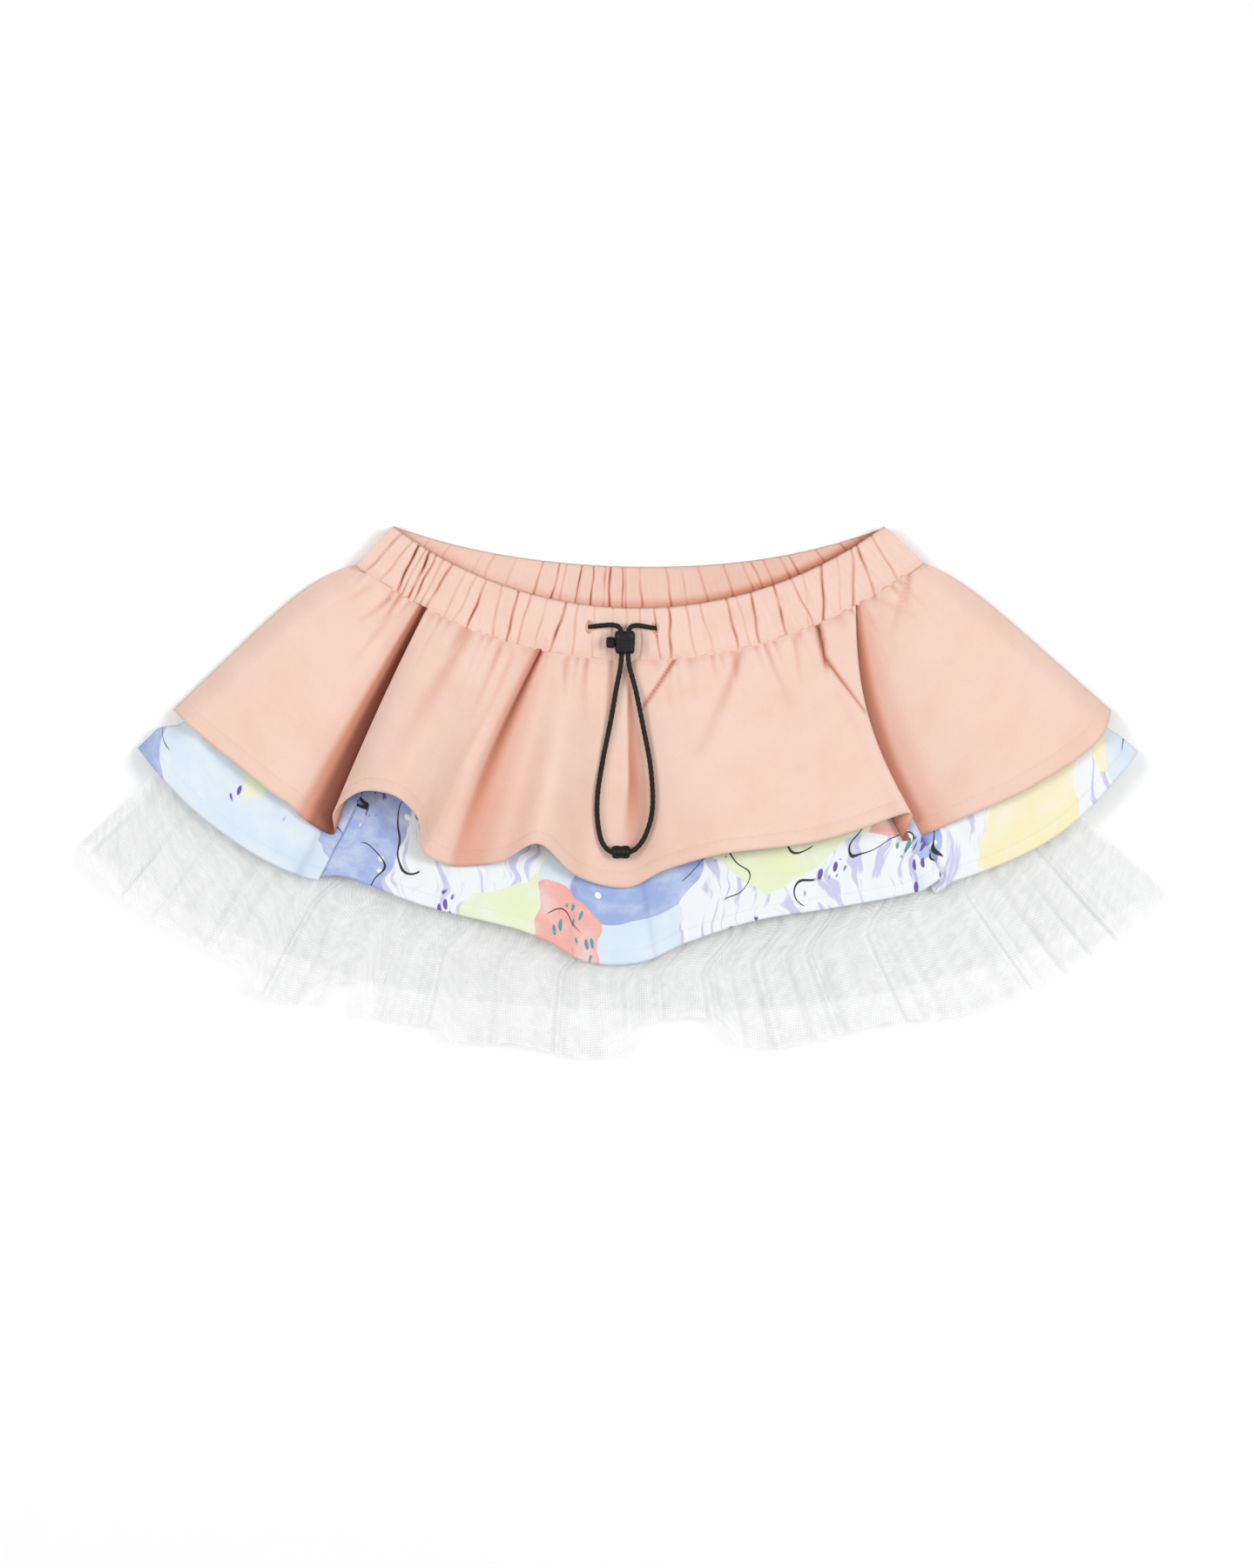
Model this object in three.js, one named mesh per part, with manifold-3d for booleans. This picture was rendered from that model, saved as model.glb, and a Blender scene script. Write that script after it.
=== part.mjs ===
// A child's three-tiered skirt laid flat: two cloth tiers over a gathered net tier, on an elastic
// waistband with a drawcord. It lies on its back panels, with the hem towards -Y and the front up.
// Millimetres, +Z up. The origin is on the surface that it lies on, under the middle of its box.
import * as THREE from "three";
import { mergeVertices } from "three/addons/utils/BufferGeometryUtils.js";
import Module from "manifold-3d";

const wasm = await Module();
wasm.setup();

const { clamp, lerp, smoothstep, degToRad, radToDeg } = THREE.MathUtils;

// The skirt spreads like a fan. Each place is an angle from straight down and a radius, in
// degrees and millimetres, from the point where its two side folds would meet.
const fanApex = { x: -1.2, y: 237.3 };

// Cloth walls, and the gap that keeps neighbouring pieces apart.
const clothWall = 1.2;
const netWall = 1.0;
const seamGap = 0.3;

// The waistband's top edges are shallow curves: radius = middle + tilt * t + bow * t * t,
// where t is the angle over the fan's half width.
const fanHalfWidth = 46;
const frontTopEdge = { middle: 152.2, tilt: 4, bow: 9.5 };
const backTopEdge = { middle: 133, tilt: 3, bow: 30 };
const bandWidth = 25.5;
const bandSides = { left: -43, right: 46.3 };
const bandThickness = 3.2;
const bandEdgeRound = 1.2;
const bandGathers = 30;
const gatherPoints = 4;
const gatherDepth = 0.9;
const gatherScallop = 0.6;
const gatherCrown = { mean: 0.75, change: 0.25, unevenness: 1.7 };
const frontBandLevel = { tip: 4.1, middle: 4.6 };

// How far the side folds swing out below the waistband, in degrees.
const sideSwing = {
  left: { turn: -3.3, from: 182.5 },
  right: { turn: 2.1, from: 192.5 },
  over: 108,
  quickness: 7,
};
// How far a tier's side folds lie inside the outer tier's: beneath the tier above and where they
// show, and the stretch past that tier's hem over which the one becomes the other.
const sideInset = {
  outer: { left: [0, 0], right: [0, 0], under: "outer", change: [0, 1] },
  print: { left: [7.5, 1.5], right: [7.5, 6], under: "outer", change: [1, 12] },
  net: { left: [17, 15], right: [17, 45], under: "print", change: [-20, 0] },
};
const shoulderWidth = 12;
const pastAllHems = 400;

// Heights of the front layers' middle surfaces: at the waist seam, where the layers beneath have
// puffed up, and at the side folds beneath the tier above and where the tier shows.
const levels = {
  netFront: { seam: 4.8, spread: 7.4, side: [4.8, 1.8], drop: [18, 34] },
  printFront: { seam: 6.3, spread: 10.9, side: [3.9, 2.4], drop: [14, 22] },
  outerFront: { seam: 7.9, spread: 13.0, side: [2.2, 2.2], drop: [0, 1] },
};
const puffLength = 45;

// Each row is a line of the outer front panel from the waist seam to the hem: its angles at the
// two ends, how early it reaches the second, the hem's radius there and the hem's lift.
const outerFolds = [
  { name: "left edge", seam: -43, hem: -46.3, ease: 7, reach: 288.5, lift: 0 },
  { name: "left panel", seam: -37, hem: -37.5, ease: 1, reach: 287, lift: 2.6 },
  { name: "left valley lip", seam: -32, hem: -29.8, ease: 1, reach: 290, lift: 0.6 },
  { name: "left valley", seam: -31.3, hem: -27.9, ease: 1, reach: 290, lift: 0.3 },
  { name: "first flute edge", seam: -30.5, hem: -28.3, ease: 1, reach: 279, lift: 7 },
  { name: "first flute side", seam: -28.8, hem: -26.3, ease: 1, reach: 264, lift: 20.5 },
  { name: "first flute crown", seam: -25.5, hem: -23.7, ease: 1, reach: 261, lift: 24 },
  { name: "first flute fall", seam: -21.5, hem: -21, ease: 1, reach: 265.5, lift: 18.5 },
  { name: "first flute foot", seam: -17, hem: -19, ease: 1, reach: 281, lift: 6 },
  { name: "second fold edge", seam: -13.2, hem: -15.8, ease: 2.4, reach: 283, lift: 4.6 },
  { name: "second fold tuck", seam: -12.4, hem: -16.4, ease: 2.4, reach: 281.5, lift: 0.5 },
  { name: "second flute side", seam: -10.8, hem: -12.8, ease: 1, reach: 274, lift: 4.6 },
  { name: "second flute crown", seam: -7.5, hem: -8.6, ease: 1, reach: 264, lift: 13 },
  { name: "second flute foot", seam: -3.2, hem: -3.9, ease: 1, reach: 278, lift: 2.6 },
  { name: "centre valley", seam: 0.6, hem: -0.3, ease: 1, reach: 281.5, lift: 0.2 },
  { name: "third flute side", seam: 4, hem: 4.2, ease: 1, reach: 273.5, lift: 4 },
  { name: "third flute crown", seam: 11, hem: 10, ease: 1, reach: 269.5, lift: 9 },
  { name: "third flute back", seam: 23, hem: 19.5, ease: 1.6, reach: 275, lift: 8.4 },
  { name: "right fold edge", seam: 33.2, hem: 27.7, ease: 2.8, reach: 279, lift: 7 },
  { name: "right fold tuck", seam: 34, hem: 26.4, ease: 2.8, reach: 290, lift: 0.6 },
  { name: "right valley", seam: 35.2, hem: 29, ease: 2.2, reach: 292, lift: 0.3 },
  { name: "right panel", seam: 39.5, hem: 38.5, ease: 1, reach: 300.5, lift: 2.6 },
  { name: "right shoulder", seam: 43.6, hem: 45.6, ease: 3, reach: 305.5, lift: 1 },
  { name: "right edge", seam: 46.3, hem: 48.4, ease: 7, reach: 301, lift: 0 },
];
const foldSteps = 4;
const puckerSpacing = 3;
const outerSections = [0, 0.06, 0.17, 0.33, 0.5, 0.68, 0.85, 1];
const puckerDepth = 0.5;
const puckerLength = 0.2;
const flutePower = 1.5;

// The printed tier's hem: radius and lift at angles across the front.
const printHem = [
  { angle: -46, reach: 312.5, lift: 0 },
  { angle: -38, reach: 316, lift: 1.2 },
  { angle: -28.5, reach: 314, lift: 0.4 },
  { angle: -25, reach: 305, lift: 3.4 },
  { angle: -18, reach: 304, lift: 3 },
  { angle: -10, reach: 304, lift: 4.4 },
  { angle: -6.5, reach: 308, lift: 2.6 },
  { angle: -3.2, reach: 316, lift: 0.3 },
  { angle: 1.4, reach: 316, lift: 0.2 },
  { angle: 5.5, reach: 308, lift: 2.4 },
  { angle: 12, reach: 302.5, lift: 4.8 },
  { angle: 19, reach: 306.5, lift: 4.2 },
  { angle: 25, reach: 313, lift: 3.2 },
  { angle: 27.6, reach: 316, lift: 0.5 },
  { angle: 38, reach: 325.5, lift: 1.6 },
  { angle: 47.2, reach: 323, lift: 0 },
];
const printSteps = 56;
const printSections = [0, 0.15, 0.38, 0.6, 0.8, 0.91, 1];

// The net tier's ragged front hem, and all three hems of the back.
const netHem = [
  { angle: -44.1, reach: 362.5 },
  { angle: -40, reach: 368 },
  { angle: -28, reach: 366 },
  { angle: -24, reach: 366.5 },
  { angle: -21.6, reach: 351 },
  { angle: -19, reach: 359 },
  { angle: -10, reach: 359 },
  { angle: -1.2, reach: 359 },
  { angle: 1, reach: 346 },
  { angle: 7, reach: 344 },
  { angle: 9.4, reach: 360 },
  { angle: 19, reach: 364 },
  { angle: 27, reach: 377 },
  { angle: 42.4, reach: 382 },
];
const backHems = [
  { angle: -46.3, outer: 288.5, print: 313, net: 363 },
  { angle: -23, outer: 271, print: 297, net: 347 },
  { angle: 0, outer: 263.5, print: 290, net: 338 },
  { angle: 24, outer: 274, print: 301, net: 354 },
  { angle: 48.4, outer: 301, print: 324, net: 384 },
];
const backSteps = 34;
const backSections = [0, 0.34, 0.67, 1];
const printBackSections = [0, 0.4, 0.79, 0.86, 0.93, 1];

// A pleat or gather is drawn with four points, at these shares of its height.
const pleatPhase = [0, 1, 0, -1];
const pleatPoints = pleatPhase.length;
const pleatDrift = { shift: 0.012, swings: 10 };

// The net's pleats: how many, and how high they stand beneath the cloth tiers and past them.
const netFrontPleats = { count: 40, covered: 0.9, open: 3.0, waver: 0.4, unevenness: 0.9 };
const netBackPleats = { count: 26, open: 2.5, waver: 2.1, unevenness: 1.3 };
const netRelease = 40;
const fullPleat = { least: 0.6, most: 1 };
const netFrontSections = [0, 0.3, 0.58, 0.72, 0.86, 1];
const netBackSections = [0, 0.36, 0.7, 0.85, 1];
const printDrop = [4, 14];
const netDrop = [3, 17];

// The drawcord, as one line from the left buttonhole through the lock, round the loop and its
// end stopper, and back through the lock into the right buttonhole.
const cordDiameter = 2.4;
const cordSides = 8;
const cordSteps = 104;
const cordRoute = [
  [-17.5, 76.2, 7.0],
  [-15.1, 76.4, 9.7],
  [-11.0, 76.8, 10.0],
  [-6.6, 77.0, 11.0],
  [-3.8, 76.0, 11.9],
  [-2.6, 73.4, 12.2],
  [-2.5, 68.6, 12.2],
  [-2.5, 62.7, 12.2],
  [-2.9, 58.2, 11.8],
  [-4.9, 47.7, 11.9],
  [-7.5, 32.7, 13.7],
  [-11.1, 14.7, 16.0],
  [-13.6, -2.3, 17.1],
  [-13.4, -14.3, 17.1],
  [-11.1, -23.7, 17.0],
  [-7.4, -27.4, 17.6],
  [-2.8, -27.6, 17.6],
  [1.8, -27.4, 17.6],
  [6.1, -23.9, 17.2],
  [9.7, -16.7, 18.0],
  [11.7, -7.3, 18.6],
  [10.9, 10.7, 18.0],
  [7.5, 29.7, 15.0],
  [3.8, 47.7, 12.2],
  [1.0, 58.2, 11.8],
  [0.5, 62.7, 12.2],
  [0.5, 68.6, 12.2],
  [0.6, 73.4, 12.2],
  [1.8, 76.0, 11.9],
  [4.6, 76.8, 11.0],
  [8.2, 76.3, 10.0],
  [11.1, 75.8, 9.7],
  [13.3, 75.6, 7.0],
];
const roundSides = 20;
const buttonhole = { width: 5.4, height: 5.0, depth: 2.4 };
const lock = {
  centre: [-1.0, 68.9, 12.2],
  width: 9.4,
  length: 10.6,
  thickness: 7.4,
  corner: 2.2,
  bore: [6.2, 3.2],
};
const lockBevel = 0.9;
const button = { diameter: 5.2, length: 4.6, rim: 0.8, sunk: 0.7 };
const stopper = { centre: [-2.8, -27.6, 17.6], length: 8.4, diameter: 6, bore: 3.2, round: 1.4 };

const colours = {
  peach: 0xf3cdb8,
  printed: 0xb9cbe8,
  net: 0xf1f3f1,
  cord: 0x231a17,
  plastic: 0x1f1e20,
};

// A smooth curve through a table's column, read at any angle between its rows.
function readTable(rows, column, angle) {
  const last = rows.length - 1;
  let i = 0;
  while (i < last - 1 && angle > rows[i + 1].angle) i++;
  const slopeAt = (k) => {
    const before = rows[Math.max(k - 1, 0)];
    const after = rows[Math.min(k + 1, last)];
    return (after[column] - before[column]) / (after.angle - before.angle);
  };
  const here = rows[i];
  const next = rows[i + 1];
  const gap = next.angle - here.angle;
  const t = clamp((angle - here.angle) / gap, 0, 1);
  const rest = 1 - t;
  return (
    here[column] * (1 + 2 * t) * rest * rest +
    slopeAt(i) * gap * t * rest * rest +
    next[column] * (1 + 2 * rest) * t * t -
    slopeAt(i + 1) * gap * rest * t * t
  );
}

function topEdge(edge, angle) {
  const t = angle / fanHalfWidth;
  return edge.middle + edge.tilt * t + edge.bow * t * t;
}

const frontSeam = (angle) => topEdge(frontTopEdge, angle) + bandWidth;
const backSeam = (angle) => topEdge(backTopEdge, angle) + bandWidth;

function place(angle, radius, height) {
  const turn = degToRad(angle);
  return new THREE.Vector3(
    fanApex.x + radius * Math.sin(turn),
    fanApex.y - radius * Math.cos(turn),
    height,
  );
}

// The angle of a tier's side fold at a radius.
function sideAngle(tier, side, radius) {
  const { turn, from } = sideSwing[side];
  const share = clamp((radius - from) / sideSwing.over, 0, 1);
  const swing = turn * (1 - (1 - share) ** sideSwing.quickness);
  const { under, change } = sideInset[tier];
  const past = radius - backHems.at(side === "left" ? 0 : -1)[under];
  const [hidden, shown] = sideInset[tier][side];
  const inset = radToDeg(lerp(hidden, shown, smoothstep(past, ...change)) / radius);
  return bandSides[side] + swing + (side === "left" ? inset : -inset);
}

// 0 at a tier's side folds, rising to 1 where its panel is clear of them.
function shoulder(tier, angle, radius) {
  const left = angle - sideAngle(tier, "left", radius);
  const right = sideAngle(tier, "right", radius) - angle;
  const inward = degToRad(Math.min(left, right)) * radius;
  return Math.sin((Math.PI / 2) * clamp(inward / shoulderWidth, 0, 1));
}

// A front layer's resting height, from the seam, past the puffed layers beneath, to the sides.
function restingHeight(layer, tier, angle, radius) {
  const { seam, spread, side, drop } = levels[layer];
  const puff = clamp((radius - frontSeam(angle)) / puffLength, 0, 1);
  const past = radius - readTable(backHems, sideInset[tier].under, angle);
  const edge = lerp(...side, smoothstep(past, ...drop));
  return lerp(edge, lerp(seam, spread, puff), shoulder(tier, angle, radius));
}

// How far the printed front tier is lifted off its resting height.
function printLift(angle, radius) {
  const seam = frontSeam(angle);
  const down = clamp((radius - seam) / (readTable(printHem, "reach", angle) - seam), 0, 1);
  const rise = 1 - (1 - down) ** flutePower;
  return readTable(printHem, "lift", angle) * rise * shoulder("print", angle, radius);
}

// A closed wall round a grid of points, rows from the seam to the hem and each from left to
// right. Its two skins are the grid moved by half the wall, and onFloor keeps it above zero.
function wallAround(grid, wall, onFloor = false) {
  const rows = grid.length;
  const columns = grid[0].length;
  const positions = [];
  const addSkin = (side) => {
    for (let j = 0; j < rows; j++) {
      for (let i = 0; i < columns; i++) {
        const across = grid[j][Math.min(i + 1, columns - 1)]
          .clone()
          .sub(grid[j][Math.max(i - 1, 0)]);
        const down = grid[Math.min(j + 1, rows - 1)][i].clone().sub(grid[Math.max(j - 1, 0)][i]);
        const normal = down.cross(across).normalize();
        const point = grid[j][i].clone().addScaledVector(normal, (side * wall) / 2);
        if (onFloor) point.z = Math.max(point.z, 0);
        positions.push(...point.toArray());
      }
    }
  };
  addSkin(1);
  addSkin(-1);
  const top = (j, i) => j * columns + i;
  const under = (j, i) => rows * columns + top(j, i);
  const index = [];
  const quad = (a, b, c, d) => index.push(a, b, c, a, c, d);
  for (let j = 0; j < rows - 1; j++) {
    for (let i = 0; i < columns - 1; i++) {
      quad(top(j, i), top(j + 1, i), top(j + 1, i + 1), top(j, i + 1));
      quad(under(j, i), under(j, i + 1), under(j + 1, i + 1), under(j + 1, i));
    }
  }
  for (let i = 0; i < columns - 1; i++) {
    quad(top(0, i), top(0, i + 1), under(0, i + 1), under(0, i));
    quad(top(rows - 1, i + 1), top(rows - 1, i), under(rows - 1, i), under(rows - 1, i + 1));
  }
  for (let j = 0; j < rows - 1; j++) {
    quad(top(j + 1, 0), top(j, 0), under(j, 0), under(j + 1, 0));
    quad(top(j, columns - 1), top(j + 1, columns - 1), under(j + 1, columns - 1), under(j, columns - 1));
  }
  return indexedGeometry(positions, index);
}

function indexedGeometry(positions, index) {
  const geometry = new THREE.BufferGeometry();
  geometry.setAttribute("position", new THREE.Float32BufferAttribute(positions, 3));
  geometry.setIndex(index);
  geometry.computeVertexNormals();
  return geometry;
}

// A closed solid through rings of points, with a flat cap at each end.
function loftThrough(rings) {
  const size = rings[0].length;
  const positions = rings.flat().flatMap((point) => point.toArray());
  const index = [];
  for (let k = 0; k < rings.length - 1; k++) {
    for (let i = 0; i < size; i++) {
      const a = k * size + i;
      const b = k * size + ((i + 1) % size);
      index.push(a, b + size, a + size, a, b, b + size);
    }
  }
  const lastRing = (rings.length - 1) * size;
  for (let i = 1; i < size - 1; i++) {
    index.push(0, i + 1, i);
    index.push(lastRing, lastRing + i, lastRing + i + 1);
  }
  return indexedGeometry(positions, index);
}

// Where along a panel its pleats lie: a little unevenly spaced, but true at both ends.
function pleatShare(x, waver) {
  const { shift, swings } = pleatDrift;
  return x + shift * Math.sin(Math.PI * swings * x + waver) * Math.sin(Math.PI * x);
}

// The height of a net pleat's point, from 0 to twice the pleats' mean rise, no two pleats alike.
function pleatHeight(i, unevenness) {
  const { least, most } = fullPleat;
  const swell = lerp(least, most, 0.5 + 0.5 * Math.sin(i * unevenness));
  return 1 + swell * pleatPhase[i % pleatPoints];
}

// Half of a waistband. The gathers are narrow creases between rounded ridges, raised in its
// upper face over a plain underside.
function waistband(edge, levelAt) {
  const rings = [];
  const stations = bandGathers * gatherPoints;
  const { mean, change, unevenness } = gatherCrown;
  for (let k = 0; k <= stations; k++) {
    const share = pleatShare(k / stations, 0);
    const angle = lerp(bandSides.left, bandSides.right, share);
    const ridge = k % gatherPoints === 0 ? 0 : mean + change * Math.sin(k * unevenness);
    const top = topEdge(edge, angle) + gatherScallop * (1 - ridge);
    const foot = topEdge(edge, angle) + bandWidth - seamGap;
    const low = levelAt(share);
    const high = low + bandThickness + gatherDepth * (ridge - 0.5);
    const middle = low + bandThickness / 2;
    rings.push([
      place(angle, top, middle),
      place(angle, top + bandEdgeRound, high),
      place(angle, foot - bandEdgeRound, high),
      place(angle, foot, middle),
      place(angle, foot - bandEdgeRound, low),
      place(angle, top + bandEdgeRound, low),
    ]);
  }
  return loftThrough(rings);
}

function outerFrontPanel() {
  const sections = outerSections.map((v) => {
    const line = outerFolds.map((fold) => {
      const angle = lerp(fold.seam, fold.hem, 1 - (1 - v) ** fold.ease);
      const radius = lerp(frontSeam(fold.seam), fold.reach, v);
      return new THREE.Vector3(angle, radius, fold.lift * (1 - (1 - v) ** flutePower));
    });
    return new THREE.CatmullRomCurve3(line, false, "centripetal");
  });
  const columns = (outerFolds.length - 1) * foldSteps;
  const grid = sections.map((curve, j) => {
    const fade = Math.max(0, 1 - outerSections[j] / puckerLength);
    const row = [];
    for (let i = 0; i <= columns; i++) {
      const { x: angle, y: radius, z: lift } = curve.getPoint(i / columns);
      const gathered = i % puckerSpacing === 0 ? 0 : puckerDepth * fade;
      const pucker = gathered * shoulder("outer", angle, radius);
      const rest = restingHeight("outerFront", "outer", angle, radius);
      row.push(place(angle, radius, rest + printLift(angle, radius) + lift + pucker));
    }
    return row;
  });
  return wallAround(grid, clothWall);
}

// A panel of a tier from a seam to its hem, with its height given at each place.
function tierPanel({ tier, seamAt, hemAt, steps, sections, shareAt, heightAt, wall, onFloor }) {
  const seamSides = ["left", "right"].map((side) => sideAngle(tier, side, sideSwing[side].from));
  const hemSides = ["left", "right"].map((side) => sideAngle(tier, side, pastAllHems));
  const grid = sections.map((v) => {
    const row = [];
    for (let i = 0; i <= steps; i++) {
      const share = shareAt ? shareAt(i / steps) : i / steps;
      const hemAngle = lerp(...hemSides, share);
      const seamAngle = lerp(...seamSides, share);
      const radius = lerp(seamAt(seamAngle), hemAt(hemAngle), v);
      const left = sideAngle(tier, "left", radius);
      const right = sideAngle(tier, "right", radius);
      const angle = lerp(left, right, share);
      row.push(place(angle, radius, heightAt(angle, radius, i)));
    }
    return row;
  });
  return wallAround(grid, wall, onFloor);
}

function printFrontPanel() {
  return tierPanel({
    tier: "print",
    seamAt: frontSeam,
    hemAt: (angle) => readTable(printHem, "reach", angle),
    steps: printSteps,
    sections: printSections,
    heightAt: (angle, radius) =>
      restingHeight("printFront", "print", angle, radius) + printLift(angle, radius),
    wall: clothWall,
  });
}

function netFrontPanel() {
  const { count, covered, open, waver, unevenness } = netFrontPleats;
  return tierPanel({
    tier: "net",
    seamAt: frontSeam,
    hemAt: (angle) => readTable(netHem, "reach", angle),
    steps: count * pleatPoints,
    sections: netFrontSections,
    shareAt: (x) => pleatShare(x, waver),
    heightAt: (angle, radius, i) => {
      const puff = clamp((radius - frontSeam(angle)) / puffLength, 0, 1);
      const printEdge = readTable(printHem, "reach", angle);
      const freed = smoothstep(radius - printEdge, 0, netRelease);
      const rise = lerp(covered, open, freed) * puff * shoulder("net", angle, radius);
      const rest = restingHeight("netFront", "net", angle, radius);
      return rest + rise * pleatHeight(i, unevenness);
    },
    wall: netWall,
  });
}

function netBackPanel() {
  const { count, open, waver, unevenness } = netBackPleats;
  const floorLevel = netWall / 2;
  const restLevel = 2 * (clothWall + seamGap) + floorLevel;
  return tierPanel({
    tier: "net",
    seamAt: backSeam,
    hemAt: (angle) => readTable(backHems, "net", angle),
    steps: count * pleatPoints,
    sections: netBackSections,
    shareAt: (x) => pleatShare(x, waver),
    heightAt: (angle, radius, i) => {
      const past = radius - readTable(backHems, "print", angle);
      const freed = smoothstep(past, ...netDrop);
      const rise = open * freed * shoulder("net", angle, radius);
      return lerp(restLevel, floorLevel, freed) + rise * pleatHeight(i, unevenness);
    },
    wall: netWall,
    onFloor: true,
  });
}

function outerBackPanel() {
  return tierPanel({
    tier: "outer",
    seamAt: backSeam,
    hemAt: (angle) => readTable(backHems, "outer", angle),
    steps: backSteps,
    sections: backSections,
    heightAt: () => clothWall / 2,
    wall: clothWall,
    onFloor: true,
  });
}

function printBackPanel() {
  return tierPanel({
    tier: "print",
    seamAt: backSeam,
    hemAt: (angle) => readTable(backHems, "print", angle),
    steps: backSteps,
    sections: printBackSections,
    heightAt: (angle, radius) => {
      const outerEdge = readTable(backHems, "outer", angle);
      const dropped = smoothstep(radius - outerEdge, ...printDrop);
      return clothWall / 2 + (clothWall + seamGap) * (1 - dropped);
    },
    wall: clothWall,
    onFloor: true,
  });
}

// Booleans: a three.js geometry as a solid, and back.
function solidOf(geometry) {
  const bare = geometry.clone();
  bare.deleteAttribute("normal");
  bare.deleteAttribute("uv");
  const merged = mergeVertices(bare, 1e-4);
  return new wasm.Manifold(
    new wasm.Mesh({
      numProp: 3,
      vertProperties: merged.attributes.position.array,
      triVerts: new Uint32Array(merged.index.array),
    }),
  );
}

function geometryOf(solid) {
  const mesh = solid.getMesh();
  return indexedGeometry(Array.from(mesh.vertProperties), Array.from(mesh.triVerts));
}

function cut(geometry, ...tools) {
  let solid = solidOf(geometry);
  for (const tool of tools) solid = solid.subtract(solidOf(tool));
  return geometryOf(solid);
}

function box(width, length, thickness, centre) {
  return new THREE.BoxGeometry(width, length, thickness).translate(...centre);
}

function frontWaistband() {
  const band = waistband(frontTopEdge, (share) =>
    lerp(frontBandLevel.tip, frontBandLevel.middle, Math.sin(Math.PI * share)),
  );
  const holeAt = ([x, y]) => {
    const level = frontBandLevel.middle + bandThickness;
    return box(buttonhole.width, buttonhole.height, 2 * buttonhole.depth, [x, y, level]);
  };
  return cut(band, holeAt(cordRoute[0]), holeAt(cordRoute.at(-1)));
}

function drawcord() {
  const curve = new THREE.CatmullRomCurve3(cordRoute.map((point) => new THREE.Vector3(...point)));
  const section = new THREE.Shape();
  for (let k = 0; k < cordSides; k++) {
    const turn = (2 * Math.PI * k) / cordSides;
    const x = (cordDiameter / 2) * Math.cos(turn);
    const y = (cordDiameter / 2) * Math.sin(turn);
    if (k === 0) section.moveTo(x, y);
    else section.lineTo(x, y);
  }
  section.closePath();
  return new THREE.ExtrudeGeometry(section, { extrudePath: curve, steps: cordSteps });
}

// A block with rounded upright corners and bevelled faces, centred on the origin.
function roundedBlock(width, length, thickness, corner, bevel) {
  const inner = { x: width / 2 - bevel, y: length / 2 - bevel };
  const round = corner - bevel;
  const outline = new THREE.Shape();
  outline.absarc(inner.x - round, inner.y - round, round, 0, Math.PI / 2);
  outline.absarc(round - inner.x, inner.y - round, round, Math.PI / 2, Math.PI);
  outline.absarc(round - inner.x, round - inner.y, round, Math.PI, 1.5 * Math.PI);
  outline.absarc(inner.x - round, round - inner.y, round, 1.5 * Math.PI, 2 * Math.PI);
  return new THREE.ExtrudeGeometry(outline, {
    depth: thickness - 2 * bevel,
    curveSegments: 3,
    bevelThickness: bevel,
    bevelSize: bevel,
    bevelSegments: 2,
  }).translate(0, 0, bevel - thickness / 2);
}

function cordLockBody() {
  const block = roundedBlock(lock.width, lock.length, lock.thickness, lock.corner, lockBevel);
  const cordBore = box(lock.bore[0], 2 * lock.length, lock.bore[1], [0, 0, 0]);
  const wellRadius = button.diameter / 2 + seamGap;
  const wellDepth = button.sunk + seamGap;
  const buttonWell = new THREE.CylinderGeometry(wellRadius, wellRadius, 2 * wellDepth, roundSides)
    .rotateZ(Math.PI / 2)
    .translate(-lock.width / 2, 0, 0);
  return cut(block, cordBore, buttonWell);
}

// The press button is turned about its own line and stands out of the lock's left side.
function cordLockButton() {
  const { diameter, length, rim } = button;
  const outline = [
    [0, 0],
    [diameter / 2 - rim, 0],
    [diameter / 2, rim],
    [diameter / 2, length],
    [0, length],
  ].map(([x, y]) => new THREE.Vector2(x, y));
  return new THREE.LatheGeometry(outline, roundSides).rotateZ(-Math.PI / 2);
}

function cordStopper() {
  const half = stopper.length / 2;
  const { round } = stopper;
  const outline = [
    [stopper.bore / 2, -half],
    [stopper.diameter / 2 - round, -half],
    [stopper.diameter / 2, round - half],
    [stopper.diameter / 2, half - round],
    [stopper.diameter / 2 - round, half],
    [stopper.bore / 2, half],
    [stopper.bore / 2, -half],
  ].map(([x, y]) => new THREE.Vector2(x, y));
  return new THREE.LatheGeometry(outline, roundSides).rotateZ(-Math.PI / 2);
}

const cloth = (colour) =>
  new THREE.MeshStandardMaterial({ color: colour, roughness: 0.85, metalness: 0 });
const netting = new THREE.MeshStandardMaterial({
  color: colours.net,
  roughness: 0.9,
  metalness: 0,
  transparent: true,
  opacity: 0.6,
});
const braid = new THREE.MeshStandardMaterial({ color: colours.cord, roughness: 0.75 });
const plastic = new THREE.MeshStandardMaterial({ color: colours.plastic, roughness: 0.4 });

function named(name, geometry, material) {
  const mesh = new THREE.Mesh(geometry, material);
  mesh.name = name;
  return mesh;
}

const skirt = new THREE.Group();
skirt.add(
  named("outer_back", outerBackPanel(), cloth(colours.peach)),
  named("print_back", printBackPanel(), cloth(colours.printed)),
  named("net_back", netBackPanel(), netting),
  named("net_front", netFrontPanel(), netting),
  named("print_front", printFrontPanel(), cloth(colours.printed)),
  named("outer_front", outerFrontPanel(), cloth(colours.peach)),
  named("waistband_back", waistband(backTopEdge, () => 0), cloth(colours.peach)),
  named("waistband_front", frontWaistband(), cloth(colours.peach)),
);

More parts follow.
